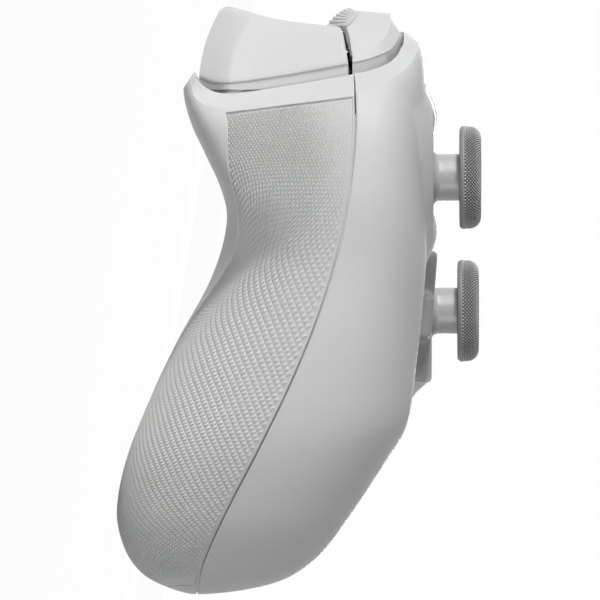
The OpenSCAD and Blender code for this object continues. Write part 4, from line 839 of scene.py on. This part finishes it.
def buildBumper(name, mirrored):
    # Rings grow from the middle of the face to its outline, turn over the chamfer, run back as a wall
    # and close inside
    b = bumper
    edge = bumperEdge()
    low = edge[::-1, 0]
    side = np.linspace(edge[-1, 1], noseLow(0.0), b["steps"])[1:-1]
    lows, edges = len(low), len(edge)
    length = np.r_[low, edge[:, 0], 0 * side]
    z = np.r_[noseLow(low), edge[:, 1], side]
    isEdge = np.r_[np.zeros(lows), np.ones(edges), np.zeros(len(side))]
    fromInner, fromOuter = b["middleIn"]
    middleLength = np.clip(length, fromInner, planRun[-1] - fromOuter)
    rings = []
    for f in np.linspace(1, 0, b["rings"]) ** b["ringPower"]:
        l, h = length + (middleLength - length) * f, z + (b["middleZ"] - z) * f
        rings.append(onBumper(l, h, noseDepth(l, h)))
    outline = rings[-1]
    first = onBumper(length, z, noseDepth(length, z) + b["edgeIn"])
    first[isEdge > 0] = smoothLine(b["chamferEdge"], b["steps"])
    rings += [outline * (1 - f) + first * f for f in b["chamferSteps"]]
    firstX, firstY = first[:, 0], first[:, 1]
    step = first.copy()
    fromX, overX = b["stepX"]
    step[:, 1] -= isEdge * b["stepIn"]
    step[:, 0] -= isEdge * b["stepIn"] * smoothStep((firstX - fromX) / overX)
    wall = step.copy()
    wall[:, 0] = np.where((length == 0) & (isEdge == 0), b["plan"][0][0], step[:, 0])
    inset = np.maximum(firstY - b["wallIn"], np.interp(firstX, *np.array(b["noseBack"]).T))
    wall[:, 1] = np.where(isEdge > 0, step[:, 1] - b["skirtDrop"], np.minimum(inset, firstY - b["leastWall"]))
    clear = np.interp(wall[:, 1], *np.array(b["triggerEnd"]).T) + b["triggerRoom"]
    onNose = (isEdge > 0) | (firstX < b["noseX"])
    wall[:, 2] = np.where(onNose, wall[:, 2], np.maximum(wall[:, 2], clear))
    raisedWall = wall.copy()
    raisedWall[:, 2] = np.maximum(wall[:, 2], b["underZ"])
    back = raisedWall.copy()
    back[:, 1] = np.where((isEdge > 0) | (firstX > b["endX"]), raisedWall[:, 1], b["backY"][0])
    # The lower and the upper side meet in one line, point to point
    line = np.c_[np.minimum(back[:, 0], b["closeX"]), np.clip(back[:, 1], *b["backY"]), 0 * z + b["middleZ"]]
    line[lows:lows + edges] = line[lows - 1::-1]
    line[lows + edges:] = line[0]
    rings += [step, wall, raisedWall, back, line]
    cap = loft(name, rings, mirrored=mirrored)
    ribs, upperEdge = bumperRibs(mirrored)
    hub = lathe("hub", b["hub"], [*b["stud"], 0], 40, mirrored=mirrored)
    arm = prismX("arm", b["arm"], *b["armX"], mirrored)
    return ribGrooveShade(combine(cap, ribs + [hub, arm], "UNION"), upperEdge)


def bumperRibs(mirrored):
    # Round ribs along the nose, fanned from its inner end, and the line over their upper ends
    b = bumper
    a = aroundTurn(b["ribSides"])
    taper = np.sqrt(np.clip(1 - np.abs(np.linspace(-1, 1, b["ribPoints"])) ** b["ribTaper"], 0,
                            1)) * b["ribR"]
    (longX, longZ), (shortX, shortZ) = b["ribEnd"]
    lowest, spread = b["ribRise"]
    ribs, ends = [], []
    for f in np.linspace(*b["ribShares"], b["ribs"]):
        endX, endZ = longX * (1 - f) + shortX * f, longZ * (1 - f) + shortZ * f
        l = np.interp(np.linspace(b["ribFrom"], endX, b["ribPoints"]), planLine[:, 0], planRun)
        rise = (noseLow(l) - b["noseZ"]) / (noseLow(l[-1:]) - b["noseZ"])
        startZ = b["noseZ"] + lowest + spread * f
        h = startZ + (endZ - startZ) * rise
        ends.insert(0, [l[-1], h[-1]])
        x, y, z = onBumper(l, h, noseDepth(l, h) + b["ribSink"]).T
        tube = np.stack([np.c_[x, y + taper * np.cos(q), z + taper * np.sin(q)] for q in a], 1)
        ribs.append(loft("rib", tube, mirrored=mirrored))
    return ribs, np.vstack([np.c_[l, h], ends[1:]]).T


def ribGrooveShade(cap, upperEdge):
    # Nought in the grooves below the upper edge of the ribs, one on the ribs and elsewhere; the finish darkens the
    # grooves as painted shade
    over, before, near, deep = bumper["grooves"]
    x, y, z = cornersOf(cap.data).T
    length = np.interp(np.abs(x), planLine[:, 0], planRun)
    above = y - onBumper(length, z, noseDepth(length, z))[:, 1]
    ribbed = (z < np.interp(length, *upperEdge) + over) & (np.abs(x) > bumper["ribFrom"] - before)
    ribbed &= (length < upperEdge[0, -1]) & (np.abs(above) < near)
    setRelief(cap.data, np.where(ribbed, np.clip(above / deep, 0, 1), 1))
    return cap


# Sticks: a dome and neck that close the opening, and a cap with a knurled, rounded edge
stick = {
    "capR": 9.05, "capFoot": 15.9, "capT": 3.8, "lip": 0.75, "edgeRound": 2.0, "dish": 1.1,
    "turns": 176, "bands": 14, "knurl": 0.3, "plain": 0.36, "socketR": 2.9, "socketT": 1.45,
    "under": [[1.2, 0], [0.5, 0.04], [0.32, 0.14], [0.06, 0.5], [0, 0.6], [0, 0.71]],
    "dishSteps": [0.985, 0.95, 0.9, 0.8, 0.65, 0.5, 0.35, 0.2, 0.08, 0], "dishPower": 1.2,
    "domeR": 12.2, "domeInnerR": 11.0, "domeTurn": [72, 25.8],
    "bore": [[2.88, 15.86], [2.88, 17.3], [2.04, 17.3], [2.04, 8.1], [3.6, 8.1], [3.6, 10.4]],
    "flare": [[4.9, 11.3], [4.45, 11.7], [4.2, 12.15], [4.1, 12.7], [4.1, 15.86]],
}


def knurledCap(name, pivot):
    # Profile runs from the dished top over the knurled band and the lip to the underside and its socket;
    # on the band every second point is sunk
    k = stick
    r, er, foot, top = k["capR"], k["edgeRound"], k["capFoot"], k["capFoot"] + k["capT"]
    a = aroundTurn(k["turns"])
    bandStart = foot + k["lip"]
    straight = top - er - bandStart
    t = np.linspace(0, straight + er * np.pi / 2, k["bands"] + 1)
    angle = np.maximum(t - straight, 0) / er
    bandR = r - er + er * np.cos(angle)
    bandZ = np.where(t < straight, bandStart + t, top - er + er * np.sin(angle))
    i, j = np.meshgrid(np.arange(len(t)), np.arange(len(a)), indexing="ij")
    onBand = (i > 0) & (i < len(t) - 1)
    lift = np.where((i + j) % 2 == 0, 0, -1) * k["knurl"] * onBand
    reach = bandR[:, None] + lift * np.cos(angle)[:, None]
    band = np.stack([reach * np.cos(a), reach * np.sin(a), bandZ[:, None] + lift * np.sin(angle)[:, None]],
                    -1)

    def circles(profile):
        return [np.c_[pr * np.cos(a), pr * np.sin(a), 0 * a + pz] for pr, pz in profile]

    under = [[k["socketR"], foot]] + [[r - d, foot + h] for d, h in k["under"]]
    dish = [[(r - er) * f, top - k["dish"] * (1 - f**2) ** k["dishPower"]] for f in k["dishSteps"]]
    socket = [[k["socketR"], foot], [k["socketR"], foot + k["socketT"]], [0, foot + k["socketT"]]]
    rows = (circles(under) + list(band) + circles(dish))[::-1] + circles(socket)
    rings = np.array(rows) + pivot
    quads = gridFaces(len(rings), len(a), True)
    bandEnd = len(dish) + len(band)
    fromLip = bandEnd - 1 - quads[:, 0] // len(a)
    diamonds = splitDiamonds(quads, (fromLip + quads[:, 0] % len(a)) % 2 == 0)
    knurled = (fromLip > 0) & (fromLip <= k["bands"])
    # Relief for the finish: sunk knurl points get painted shade, and the plain dish, lip and underside an even
    # darker tone
    relief = np.full(rings.shape[:2], k["plain"])
    relief[len(dish):bandEnd] = np.where(onBand, 1 + lift / k["knurl"], k["plain"])[::-1]
    return makePiece(name, rings, [quads[~knurled], diamonds[np.tile(knurled, 2)]], relief=relief)


def neckPiece(name, pivot):
    # Dome, flare and neck outside; the dome's inner side and the bore for the stem inside
    k = stick
    t = np.linspace(*np.radians(k["domeTurn"]), 20)
    arc = np.c_[np.sin(t), np.cos(t)]
    dome, inside = arc * k["domeR"], arc[::-1] * k["domeInnerR"]
    flare = smoothLine([dome[-1], *k["flare"]], 8)
    return lathe(name, np.vstack([dome, flare[1:], k["bore"], inside, dome[:1]]), pivot, 96)


# Buttons are turned: domed top, small rounded edge, stem and flange below
buttonForm = {"r": 5.45, "bulge": 1.85, "top": 56.4, "round": 0.55, "flangeZ": 48.7, "flangeT": 1.2,
              "flangeW": 0.9,
              "stemR": 1.5, "stemZ": 41.75, "pinR": 1.2, "pinZ": 39.15, "homeR": 5.5, "homeTop": 55.9,
              "small": [6.4, 3.4], "smallTop": 54.7, "smallEdge": [[0.12, 0], [0.1, 0.55]], "smallStem": 0.8,
              "smallRound": [[0, 0.35], [-0.15, 0.1], [-0.45, 0]], "haloZ": [48.9, 54.1],
              "haloR": [5.8, 6.05, 6.55, 6.78, 7.8], "haloFlange": 1, "haloChamfer": 0.25}


def pinProfile(fromZ):
    # Stem and pin that reach down to the switch
    f = buttonForm
    return [[f["stemR"], fromZ], [f["stemR"], f["stemZ"]], [f["pinR"], f["stemZ"]], [f["pinR"], f["pinZ"]],
            [0, f["pinZ"]]]


def roundButton(name, centre, r, top, flangeR):
    # A shallow ball for the top, a rounded edge that runs on from its slope, then flange, stem and pin
    f = buttonForm
    ball = (r**2 + f["bulge"] ** 2) / (2 * f["bulge"])
    rr = np.linspace(0, r - f["round"], 14)
    dome = np.c_[rr, top - ball + np.sqrt(ball**2 - rr**2)]
    slope = np.arcsin((r - f["round"]) / ball)
    t = np.linspace(np.pi / 2 - slope, 0, 8)[1:]
    edgeZ = dome[-1, 1] - f["round"] * np.sin(np.pi / 2 - slope)
    edge = np.c_[r - f["round"] + f["round"] * np.cos(t), edgeZ + f["round"] * np.sin(t)]
    under = f["flangeZ"] - f["flangeT"]
    low = [[r, f["flangeZ"]], [flangeR, f["flangeZ"]], [flangeR, under]] + pinProfile(under)
    return lathe(name, np.vstack([dome, edge, low]), [*centre, 0], 96)


def smallButton(name, centre):
    # A round-ended cap with a soft edge over a flange, and a turned pin below
    f = buttonForm
    l, w = f["small"]
    half, top, flange = w / 2, f["smallTop"], f["flangeZ"]
    under = flange - f["flangeT"]
    heights = [top + h for h, _ in f["smallEdge"] + f["smallRound"]] + [flange, flange, under, under]
    radii = [half * share for _, share in f["smallEdge"]] + [half - d for _, d in f["smallRound"]]
    cap = loft(name, stadium(l, w, heights, radii + [half, half + f["flangeW"], half + f["flangeW"], 0],
                             centre))
    fromZ = flange - f["smallStem"]
    pin = lathe("pin", [[0, fromZ]] + pinProfile(fromZ), [*centre, 0], 40)
    return combine(cap, [pin], "UNION")


def haloRing(name):
    f = buttonForm
    low, top = f["haloZ"]
    bore, innerTop, outerTop, outer, flange = f["haloR"]
    step, edge = low + f["haloFlange"], top - f["haloChamfer"]
    profile = [[bore, low], [flange, low], [flange, step], [outer, step], [outer, edge], [outerTop, top],
               [innerTop, top], [bore, edge], [bore, low]]
    return lathe(name, profile, [*face["home"], 0], 96)


# Cross pad: four arms with rounded corners, a chamfered edge and a shallow dish
pad = {"half": 11.6, "arm": 3.75, "corner": 0.9, "fillet": 1.4, "top": 55.4, "t": 4, "dish": 1.15,
       "lean": 4.5,
       "under": [0, 0.5], "edge": [[0.3, -4], [0, -3.7], [0, -1.0], [0.12, -0.55], [0.4, -0.25],
                                   [0.75, -0.12]],
       "dishRings": 22, "dishSharp": 6, "pivotZ": 44, "blockR": 4.2, "blockTurn": 0.65, "pinR": 1.0,
       "pinHalf": 5.7, "stemR": 2.6, "stemZ": [4, 8.2]}


def crossOutline(half, arm, corner, fillet):
    # One arm's corner drawn once, then turned to the other three
    t = np.linspace(0, np.pi / 2, 7)
    outer = np.c_[half - corner + corner * np.cos(t), arm - corner + corner * np.sin(t)]
    inner = np.c_[arm + fillet - fillet * np.sin(t), arm + fillet - fillet * np.cos(t)]
    side = np.linspace(outer[-1], inner[0], 8)[1:-1]
    arm1 = np.vstack([outer, side, inner])
    other = arm1[::-1, ::-1]
    quarter = np.vstack([arm1, other[1:-1][len(inner) - 1:]])
    turned = []
    for k in range(4):
        c, s = np.cos(k * np.pi / 2), np.sin(k * np.pi / 2)
        turned.append(quarter @ np.array([[c, s], [-s, c]]))
    return evenly(np.vstack(turned), 240, True)


def crossPad(name):
    # Rings from the underside's middle out, up over the chamfered edge and into the dish; a round block
    # and a pin carry it
    p = pad
    outline = crossOutline(p["half"], p["arm"], p["corner"], p["fillet"])
    rings = [np.c_[outline * f, np.full(len(outline), -p["t"])] for f in p["under"]]
    for d, z in p["edge"]:
        ring = crossOutline(p["half"] - d, p["arm"] - d, p["corner"], p["fillet"])
        rings.append(np.c_[ring, np.full(len(ring), z)])
    inner, rimZ = rings[-1][:, :2], p["edge"][-1][1]
    for f in np.linspace(0, 1, p["dishRings"])[1:]:
        ring = inner * (1 - f)
        r = np.hypot(*ring.T) / p["half"]
        sunk = p["dish"] * (1 - np.clip(r, 0, 1) ** 2) * smoothStep(f * p["dishSharp"])
        rings.append(np.c_[ring, rimZ - sunk])
    x, y = face["pad"]
    cross = loft(name, leanOver(np.array(rings), p["lean"]) + [x, y, p["top"]])
    t = np.linspace(-np.pi / 2, np.pi / 2 - p["blockTurn"], 20)
    low, high = p["stemZ"]
    ball = np.c_[np.cos(t) * p["blockR"], np.sin(t) * p["blockR"]]
    stem = np.vstack([ball, [[p["stemR"], low], [p["stemR"], high], [0, high]]])
    block = lathe("block", stem, [x, y, p["pivotZ"]], 48)
    ends = [[x + d, p["pinR"]] for d in (-p["pinHalf"], p["pinHalf"])]
    pin = drumX("pin", ends, [y, p["pivotZ"]], 24, True)
    return combine(cross, [block, pin], "UNION")


# Shader groups shared by the finishes
def newGroup(name, inputs):
    # Every group gives a colour, a roughness and a height for the bump
    group = bpy.data.node_groups.new(name, "ShaderNodeTree")
    number = "NodeSocketFloat"
    for label, kind, value in inputs:
        group.interface.new_socket(label, in_out="INPUT", socket_type=kind).default_value = value
    for label, kind in (("Color", "NodeSocketColor"), ("Roughness", number), ("Height", number)):
        group.interface.new_socket(label, in_out="OUTPUT", socket_type=kind)
    return group, group.nodes.new("NodeGroupInput").outputs, group.nodes.new("NodeGroupOutput").inputs


def node(tree, kind, links=None, **values):
    made = tree.nodes.new(kind)
    for key, value in values.items():
        if key.startswith("in_"):
            made.inputs[int(key[3:]) if key[3:].isdigit() else key[3:]].default_value = value
        else:
            setattr(made, key, value)
    for socket, source in (links or {}).items():
        tree.links.new(source, made.inputs[socket])
    return made


def calc(tree, operation, *terms):
    # A math node whose terms are numbers or the outputs of other nodes
    made = node(tree, "ShaderNodeMath", operation=operation)
    for socket, term in zip(made.inputs, terms):
        if isinstance(term, float):
            socket.default_value = term
        else:
            tree.links.new(term, socket)
    return made.outputs[0]


def scaled(tree, vector, factor):
    return node(tree, "ShaderNodeVectorMath", {0: vector, "Scale": factor}, operation="SCALE").outputs[0]


def noise(tree, place, scale, detail, rough=0.5):
    made = node(tree, "ShaderNodeTexNoise", {"Vector": place}, in_Scale=scale, in_Detail=detail,
                in_Roughness=rough)
    return made.outputs["Fac"]


grain = {"fine": [5200.0, 3.0, 0.6], "slow": [34.0, 4.0, 0.55], "rub": [150.0, 6.0, 0.7],
         "rubGloss": [0.16, -0.08], "grooveShadePower": 1.2, "bumpHeight": 0.0001}
brushed = {"drawn": (400.0, 4000.0, 4000.0), "lines": [1.0, 4.0], "stain": [260.0, 5.0], "tone": [0.3, 0.7],
           "stainGloss": 0.2}


def mouldedGrain():
    # Fine spark-eroded grain, slow tone drift and faint handling marks of moulded plastic, with painted shade that
    # darkens the colour in grooves and valleys where the relief attribute is low
    number = "NodeSocketFloat"
    group, given, result = newGroup("mouldedGrain", [
        ("Scale", number, 1.0), ("Tone", "NodeSocketColor", (0.8, 0.8, 0.8, 1)), ("Drift", number, 0.05),
        ("Gloss", number, 0.45), ("Relief", number, 1.0), ("GrooveShade", number, 0.0)])
    sized = scaled(group, node(group, "ShaderNodeTexCoord").outputs["Object"], given["Scale"])
    fine, slow, rub = (noise(group, sized, *grain[key]) for key in ("fine", "slow", "rub"))
    drift, speck = (calc(group, "MULTIPLY", calc(group, "SUBTRACT", source, 0.5), given["Drift"])
                    for source in (slow, fine))
    # Painted shade: the colour is darkened where the relief falls towards nought
    deep = calc(group, "POWER", calc(group, "SUBTRACT", 1.0, given["Relief"]), grain["grooveShadePower"])
    shade = calc(group, "MULTIPLY", deep, given["GrooveShade"])
    lit = calc(group, "SUBTRACT", calc(group, "ADD", drift, speck), shade)
    rubbed = calc(group, "MULTIPLY_ADD", rub, *grain["rubGloss"])
    group.links.new(scaled(group, given["Tone"], calc(group, "ADD", lit, 1.0)), result["Color"])
    group.links.new(calc(group, "ADD", rubbed, given["Gloss"]), result["Roughness"])
    group.links.new(fine, result["Height"])
    return group


def brushedMetal():
    # Drawn lines along one axis with small stains for turned and pressed steel
    group, given, result = newGroup("brushedMetal", [("Tone", "NodeSocketColor", (0.6, 0.6, 0.6, 1)),
                                                     ("Gloss", "NodeSocketFloat", 0.3)])
    place = node(group, "ShaderNodeTexCoord").outputs["Object"]
    drawn = node(group, "ShaderNodeMapping", {"Vector": place}, in_Scale=brushed["drawn"]).outputs[0]
    lines, stain = noise(group, drawn, *brushed["lines"]), noise(group, place, *brushed["stain"])
    factor = calc(group, "MULTIPLY_ADD", calc(group, "ADD", lines, stain), *brushed["tone"])
    rough = calc(group, "MULTIPLY_ADD", stain, brushed["stainGloss"], given["Gloss"])
    group.links.new(scaled(group, given["Tone"], factor), result["Color"])
    group.links.new(rough, result["Roughness"])
    group.links.new(lines, result["Height"])
    return group


grainGroup, metalGroup = mouldedGrain(), brushedMetal()
finishes = {
    "shellWhite": {"Tone": 0.80, "Drift": 0.05, "Gloss": 0.5, "bump": 0.05, "shine": 0.3},
    # Painted shade in the rib grooves and in the grip and knurl valleys comes from the groove shade amount
    "bumperWhiteGrooveShade": {"Tone": 0.80, "Drift": 0.05, "Gloss": 0.5, "bump": 0.05, "shine": 0.3, "GrooveShade": 0.5},
    "gripGrey": {"Tone": 0.88, "Drift": 0.07, "Gloss": 0.58, "bump": 0.08, "shine": 0.3, "GrooveShade": 0.34},
    "buttonWhite": {"Tone": 0.76, "Drift": 0.04, "Gloss": 0.3, "bump": 0.02},
    "padGrey": {"Tone": 0.44, "Drift": 0.06, "Gloss": 0.4, "bump": 0.05},
    "neckGrey": {"Tone": 0.57, "Drift": 0.05, "Gloss": 0.3, "bump": 0.03},
    "capRubber": {"Tone": 0.85, "Drift": 0.12, "Gloss": 0.5, "bump": 0.1, "GrooveShade": 0.97},
    "glossBlack": {"Tone": 0.012, "Drift": 0.2, "Gloss": 0.16, "bump": 0.01},
    "innerBlack": {"Tone": 0.02, "Drift": 0.3, "Gloss": 0.5, "bump": 0.06},
    "batteryGrey": {"Tone": (0.09, 0.09, 0.1), "Drift": 0.25, "Gloss": 0.4, "bump": 0.05},
    "boardGreen": {"Tone": (0.03, 0.13, 0.07), "Drift": 0.3, "Gloss": 0.3, "bump": 0.04},
    "steelPlain": {"group": metalGroup, "Tone": (0.58, 0.58, 0.6), "Gloss": 0.28, "bump": 0.05, "metal": 1.0},
}


def makeFinish(name):
    given = finishes[name]
    material = bpy.data.materials.new(name)
    material.use_nodes = True
    tree = material.node_tree
    shader = tree.nodes["Principled BSDF"]
    shader.inputs["Metallic"].default_value = given.get("metal", 0.0)
    shader.inputs["Specular IOR Level"].default_value = given.get("shine", 0.5)
    group = tree.nodes.new("ShaderNodeGroup")
    group.node_tree = given.get("group", grainGroup)
    group.inputs["Tone"].default_value = (*np.broadcast_to(given["Tone"], 3).tolist(), 1)
    for key in ("Drift", "Gloss", "GrooveShade"):
        if key in given:
            group.inputs[key].default_value = given[key]
    # Finishes with a groove shade amount read the relief attribute, which darkens their grooves as painted shade
    if "GrooveShade" in given:
        carved = node(tree, "ShaderNodeAttribute", attribute_name="relief")
        tree.links.new(carved.outputs["Fac"], group.inputs["Relief"])
    bump = node(tree, "ShaderNodeBump", {"Height": group.outputs["Height"]}, in_Distance=grain["bumpHeight"],
                in_Strength=given["bump"])
    tree.links.new(group.outputs["Color"], shader.inputs["Base Color"])
    tree.links.new(group.outputs["Roughness"], shader.inputs["Roughness"])
    tree.links.new(bump.outputs["Normal"], shader.inputs["Normal"])
    return material


finish = {name: makeFinish(name) for name in finishes}


def dress(piece, name):
    piece.data.materials.clear()
    piece.data.materials.append(finish[name])


# Making of the pieces
frontShell = settle(buildFrontShell(), "body", ["front_shell"], "shellWhite", 32)
print("front shell", len(frontShell.data.polygons))
backShell = settle(buildBackShell(), "body", ["back_shell"], "shellWhite", 32)
print("back shell", len(backShell.data.polygons))
for side, mirrored in (("left", True), ("right", False)):
    pivot, top = stickPivots[side], side + "_stick_top_body"
    settle(gripPiece(side + "_grip_skin", mirrored), "body", [], "gripGrey", 8)
    part = buildTrigger(side + "_trigger_cap", mirrored)
    settle(part, side + "_trigger_body", [side + "_trigger"], "shellWhite", 32)
    part = buildBumper(side + "_bumper_cap", mirrored)
    settle(part, side + "_bumper_body", [side + "_bumper"], "bumperWhiteGrooveShade", 25)
    settle(neckPiece(side + "_neck_dome", pivot), top, [side + "_stick_neck"], "neckGrey", 35)
    settle(knurledCap(side + "_knurled_cap", pivot), top, [side + "_stick_cap"], "capRubber", 20)
    print(side, "grip, trigger, bumper and stick")
form = buttonForm
for key, place in zip(("north", "south", "east", "west"), clusterPlaces):
    part = roundButton("cap_" + key, place, form["r"], form["top"], form["r"] + form["flangeW"])
    settle(part, f"button_{key}_body", ["button_" + key], "buttonWhite")
part = roundButton("cap_home", face["home"], form["homeR"], form["homeTop"], form["homeR"])
settle(part, "home_button_body", ["home_button"], "glossBlack")
for key, place in zip(("view", "menu", "share"), face["small"]):
    settle(smallButton("cap_" + key, place), f"{key}_button_body", [f"{key}_button"], "buttonWhite")
settle(haloRing("home_ring"), "body", ["home_halo"], "innerBlack")
settle(crossPad("cross_pad"), "pad_cross_body", ["pad_cross"], "padGrey", 35)
print("buttons and pad")
slotFinish = {"black_plastic": "innerBlack", "steel": "steelPlain", "board": "boardGreen",
              "battery": "batteryGrey",
              "shell": "shellWhite", "button": "buttonWhite", "pad": "padGrey", "neck": "neckGrey",
              "cap": "capRubber"}
for entry in frame["record"]["subparts"]:
    dress(frame["nodes"][entry["node"]], slotFinish[entry["material_slot"]])

# Floor, light and camera
stageSet = {"floorSize": 3.0, "floorSteps": 9, "aimZ": 0.03, "floorTone": 0.9, "floorWhite": 0.97,
            "fill": 0.1,
            "key": {"from": (-0.53, 0.85, 0.03), "far": 1.0, "size": (0.9, 0.1), "power": 7.4},
            "upper": {"from": (-0.2, 0.3, 0.93), "far": 1.4, "size": (1.0, 1.0), "power": 0.1},
            "low": {"from": (-0.72, -0.66, 0.12), "far": 1.2, "size": (0.6, 0.2), "power": 2.3},
            "rear": {"from": (0.62, -0.3, 0.72), "far": 1.5, "size": (0.9, 0.9), "power": 1.3},
            "right": {"from": (0.98, 0.04, 0.1), "far": 1.2, "size": (0.5, 0.2), "power": 3.4}}
sideCamera = {"lens": 1600, "sensor": 36, "clipEnd": 20, "middle": [-40, 0, 31.93], "seen": 105.26}


def seenWhite(tree):
    # One for rays from the camera, mirrors or glass, nought for the rest
    path = node(tree, "ShaderNodeLightPath").outputs
    two = calc(tree, "MAXIMUM", path["Is Camera Ray"], path["Is Glossy Ray"])
    return calc(tree, "MAXIMUM", two, path["Is Transmission Ray"])


def makeFloor():
    half, steps = stageSet["floorSize"], stageSet["floorSteps"]
    g = np.linspace(-half, half, steps)
    x, y = np.meshgrid(g, g, indexing="ij")
    faces = [gridFaces(steps, steps, flip=True)]
    floor = makePiece("floor", np.stack([x, y, 0 * x + cadLow.z], -1), faces, close=False)
    material = bpy.data.materials.new("paleFloor")
    material.use_nodes = True
    tree = material.node_tree
    tree.nodes.clear()
    tone = stageSet["floorTone"]
    matt = node(tree, "ShaderNodeBsdfDiffuse", in_Color=(tone, tone, tone, 1))
    glow = node(tree, "ShaderNodeEmission", in_Color=(1, 1, 1, 1), in_Strength=1.0)
    share = calc(tree, "MULTIPLY", seenWhite(tree), stageSet["floorWhite"])
    mix = node(tree, "ShaderNodeMixShader", {0: share, 1: matt.outputs[0], 2: glow.outputs[0]})
    node(tree, "ShaderNodeOutputMaterial", {"Surface": mix.outputs[0]})
    floor.data.materials.append(material)


def makeWorld():
    world = bpy.data.worlds.new("studio")
    scene.world = world
    world.use_nodes = True
    tree = world.node_tree
    tree.nodes.clear()
    fill = node(tree, "ShaderNodeBackground", in_Color=(1, 1, 1, 1), in_Strength=stageSet["fill"])
    white = node(tree, "ShaderNodeBackground", in_Color=(1, 1, 1, 1), in_Strength=1.0)
    mix = node(tree, "ShaderNodeMixShader", {0: seenWhite(tree), 1: fill.outputs[0], 2: white.outputs[0]})
    node(tree, "ShaderNodeOutputWorld", {"Surface": mix.outputs[0]})


def makeLamp(name):
    given = stageSet[name]
    lamp = bpy.data.lights.new(name, "AREA")
    lamp.shape = "RECTANGLE"
    lamp.size, lamp.size_y = given["size"]
    lamp.energy = given["power"]
    stand = bpy.data.objects.new(name, lamp)
    scene.collection.objects.link(stand)
    away = Vector(given["from"]).normalized()
    stand.location = away * given["far"] + Vector((0, 0, stageSet["aimZ"]))
    stand.rotation_euler = (-away).to_track_quat("-Z", "Y").to_euler()


def makeCamera():
    # Level with the middle of the left side, with the front edge up and the face to the right
    c = sideCamera
    lens = bpy.data.cameras.new("sideView")
    lens.lens, lens.sensor_width, lens.clip_end = c["lens"], c["sensor"], c["clipEnd"]
    view = bpy.data.objects.new("sideView", lens)
    scene.collection.objects.link(view)
    x, y, z = c["middle"]
    spot = lieDown([x - c["seen"] * c["lens"] / c["sensor"], y, z])
    right, up = leanTurn @ [0, 0, 1], leanTurn @ [0, 1, 0]
    turn = Matrix([(right[k], up[k], (-1, 0, 0)[k]) for k in range(3)]).to_4x4()
    view.matrix_world = Matrix.Translation(Vector(spot)) @ turn
    scene.camera = view


makeFloor()
makeWorld()
for name in ("key", "upper", "low", "rear", "right"):
    makeLamp(name)
makeCamera()
print("stage")
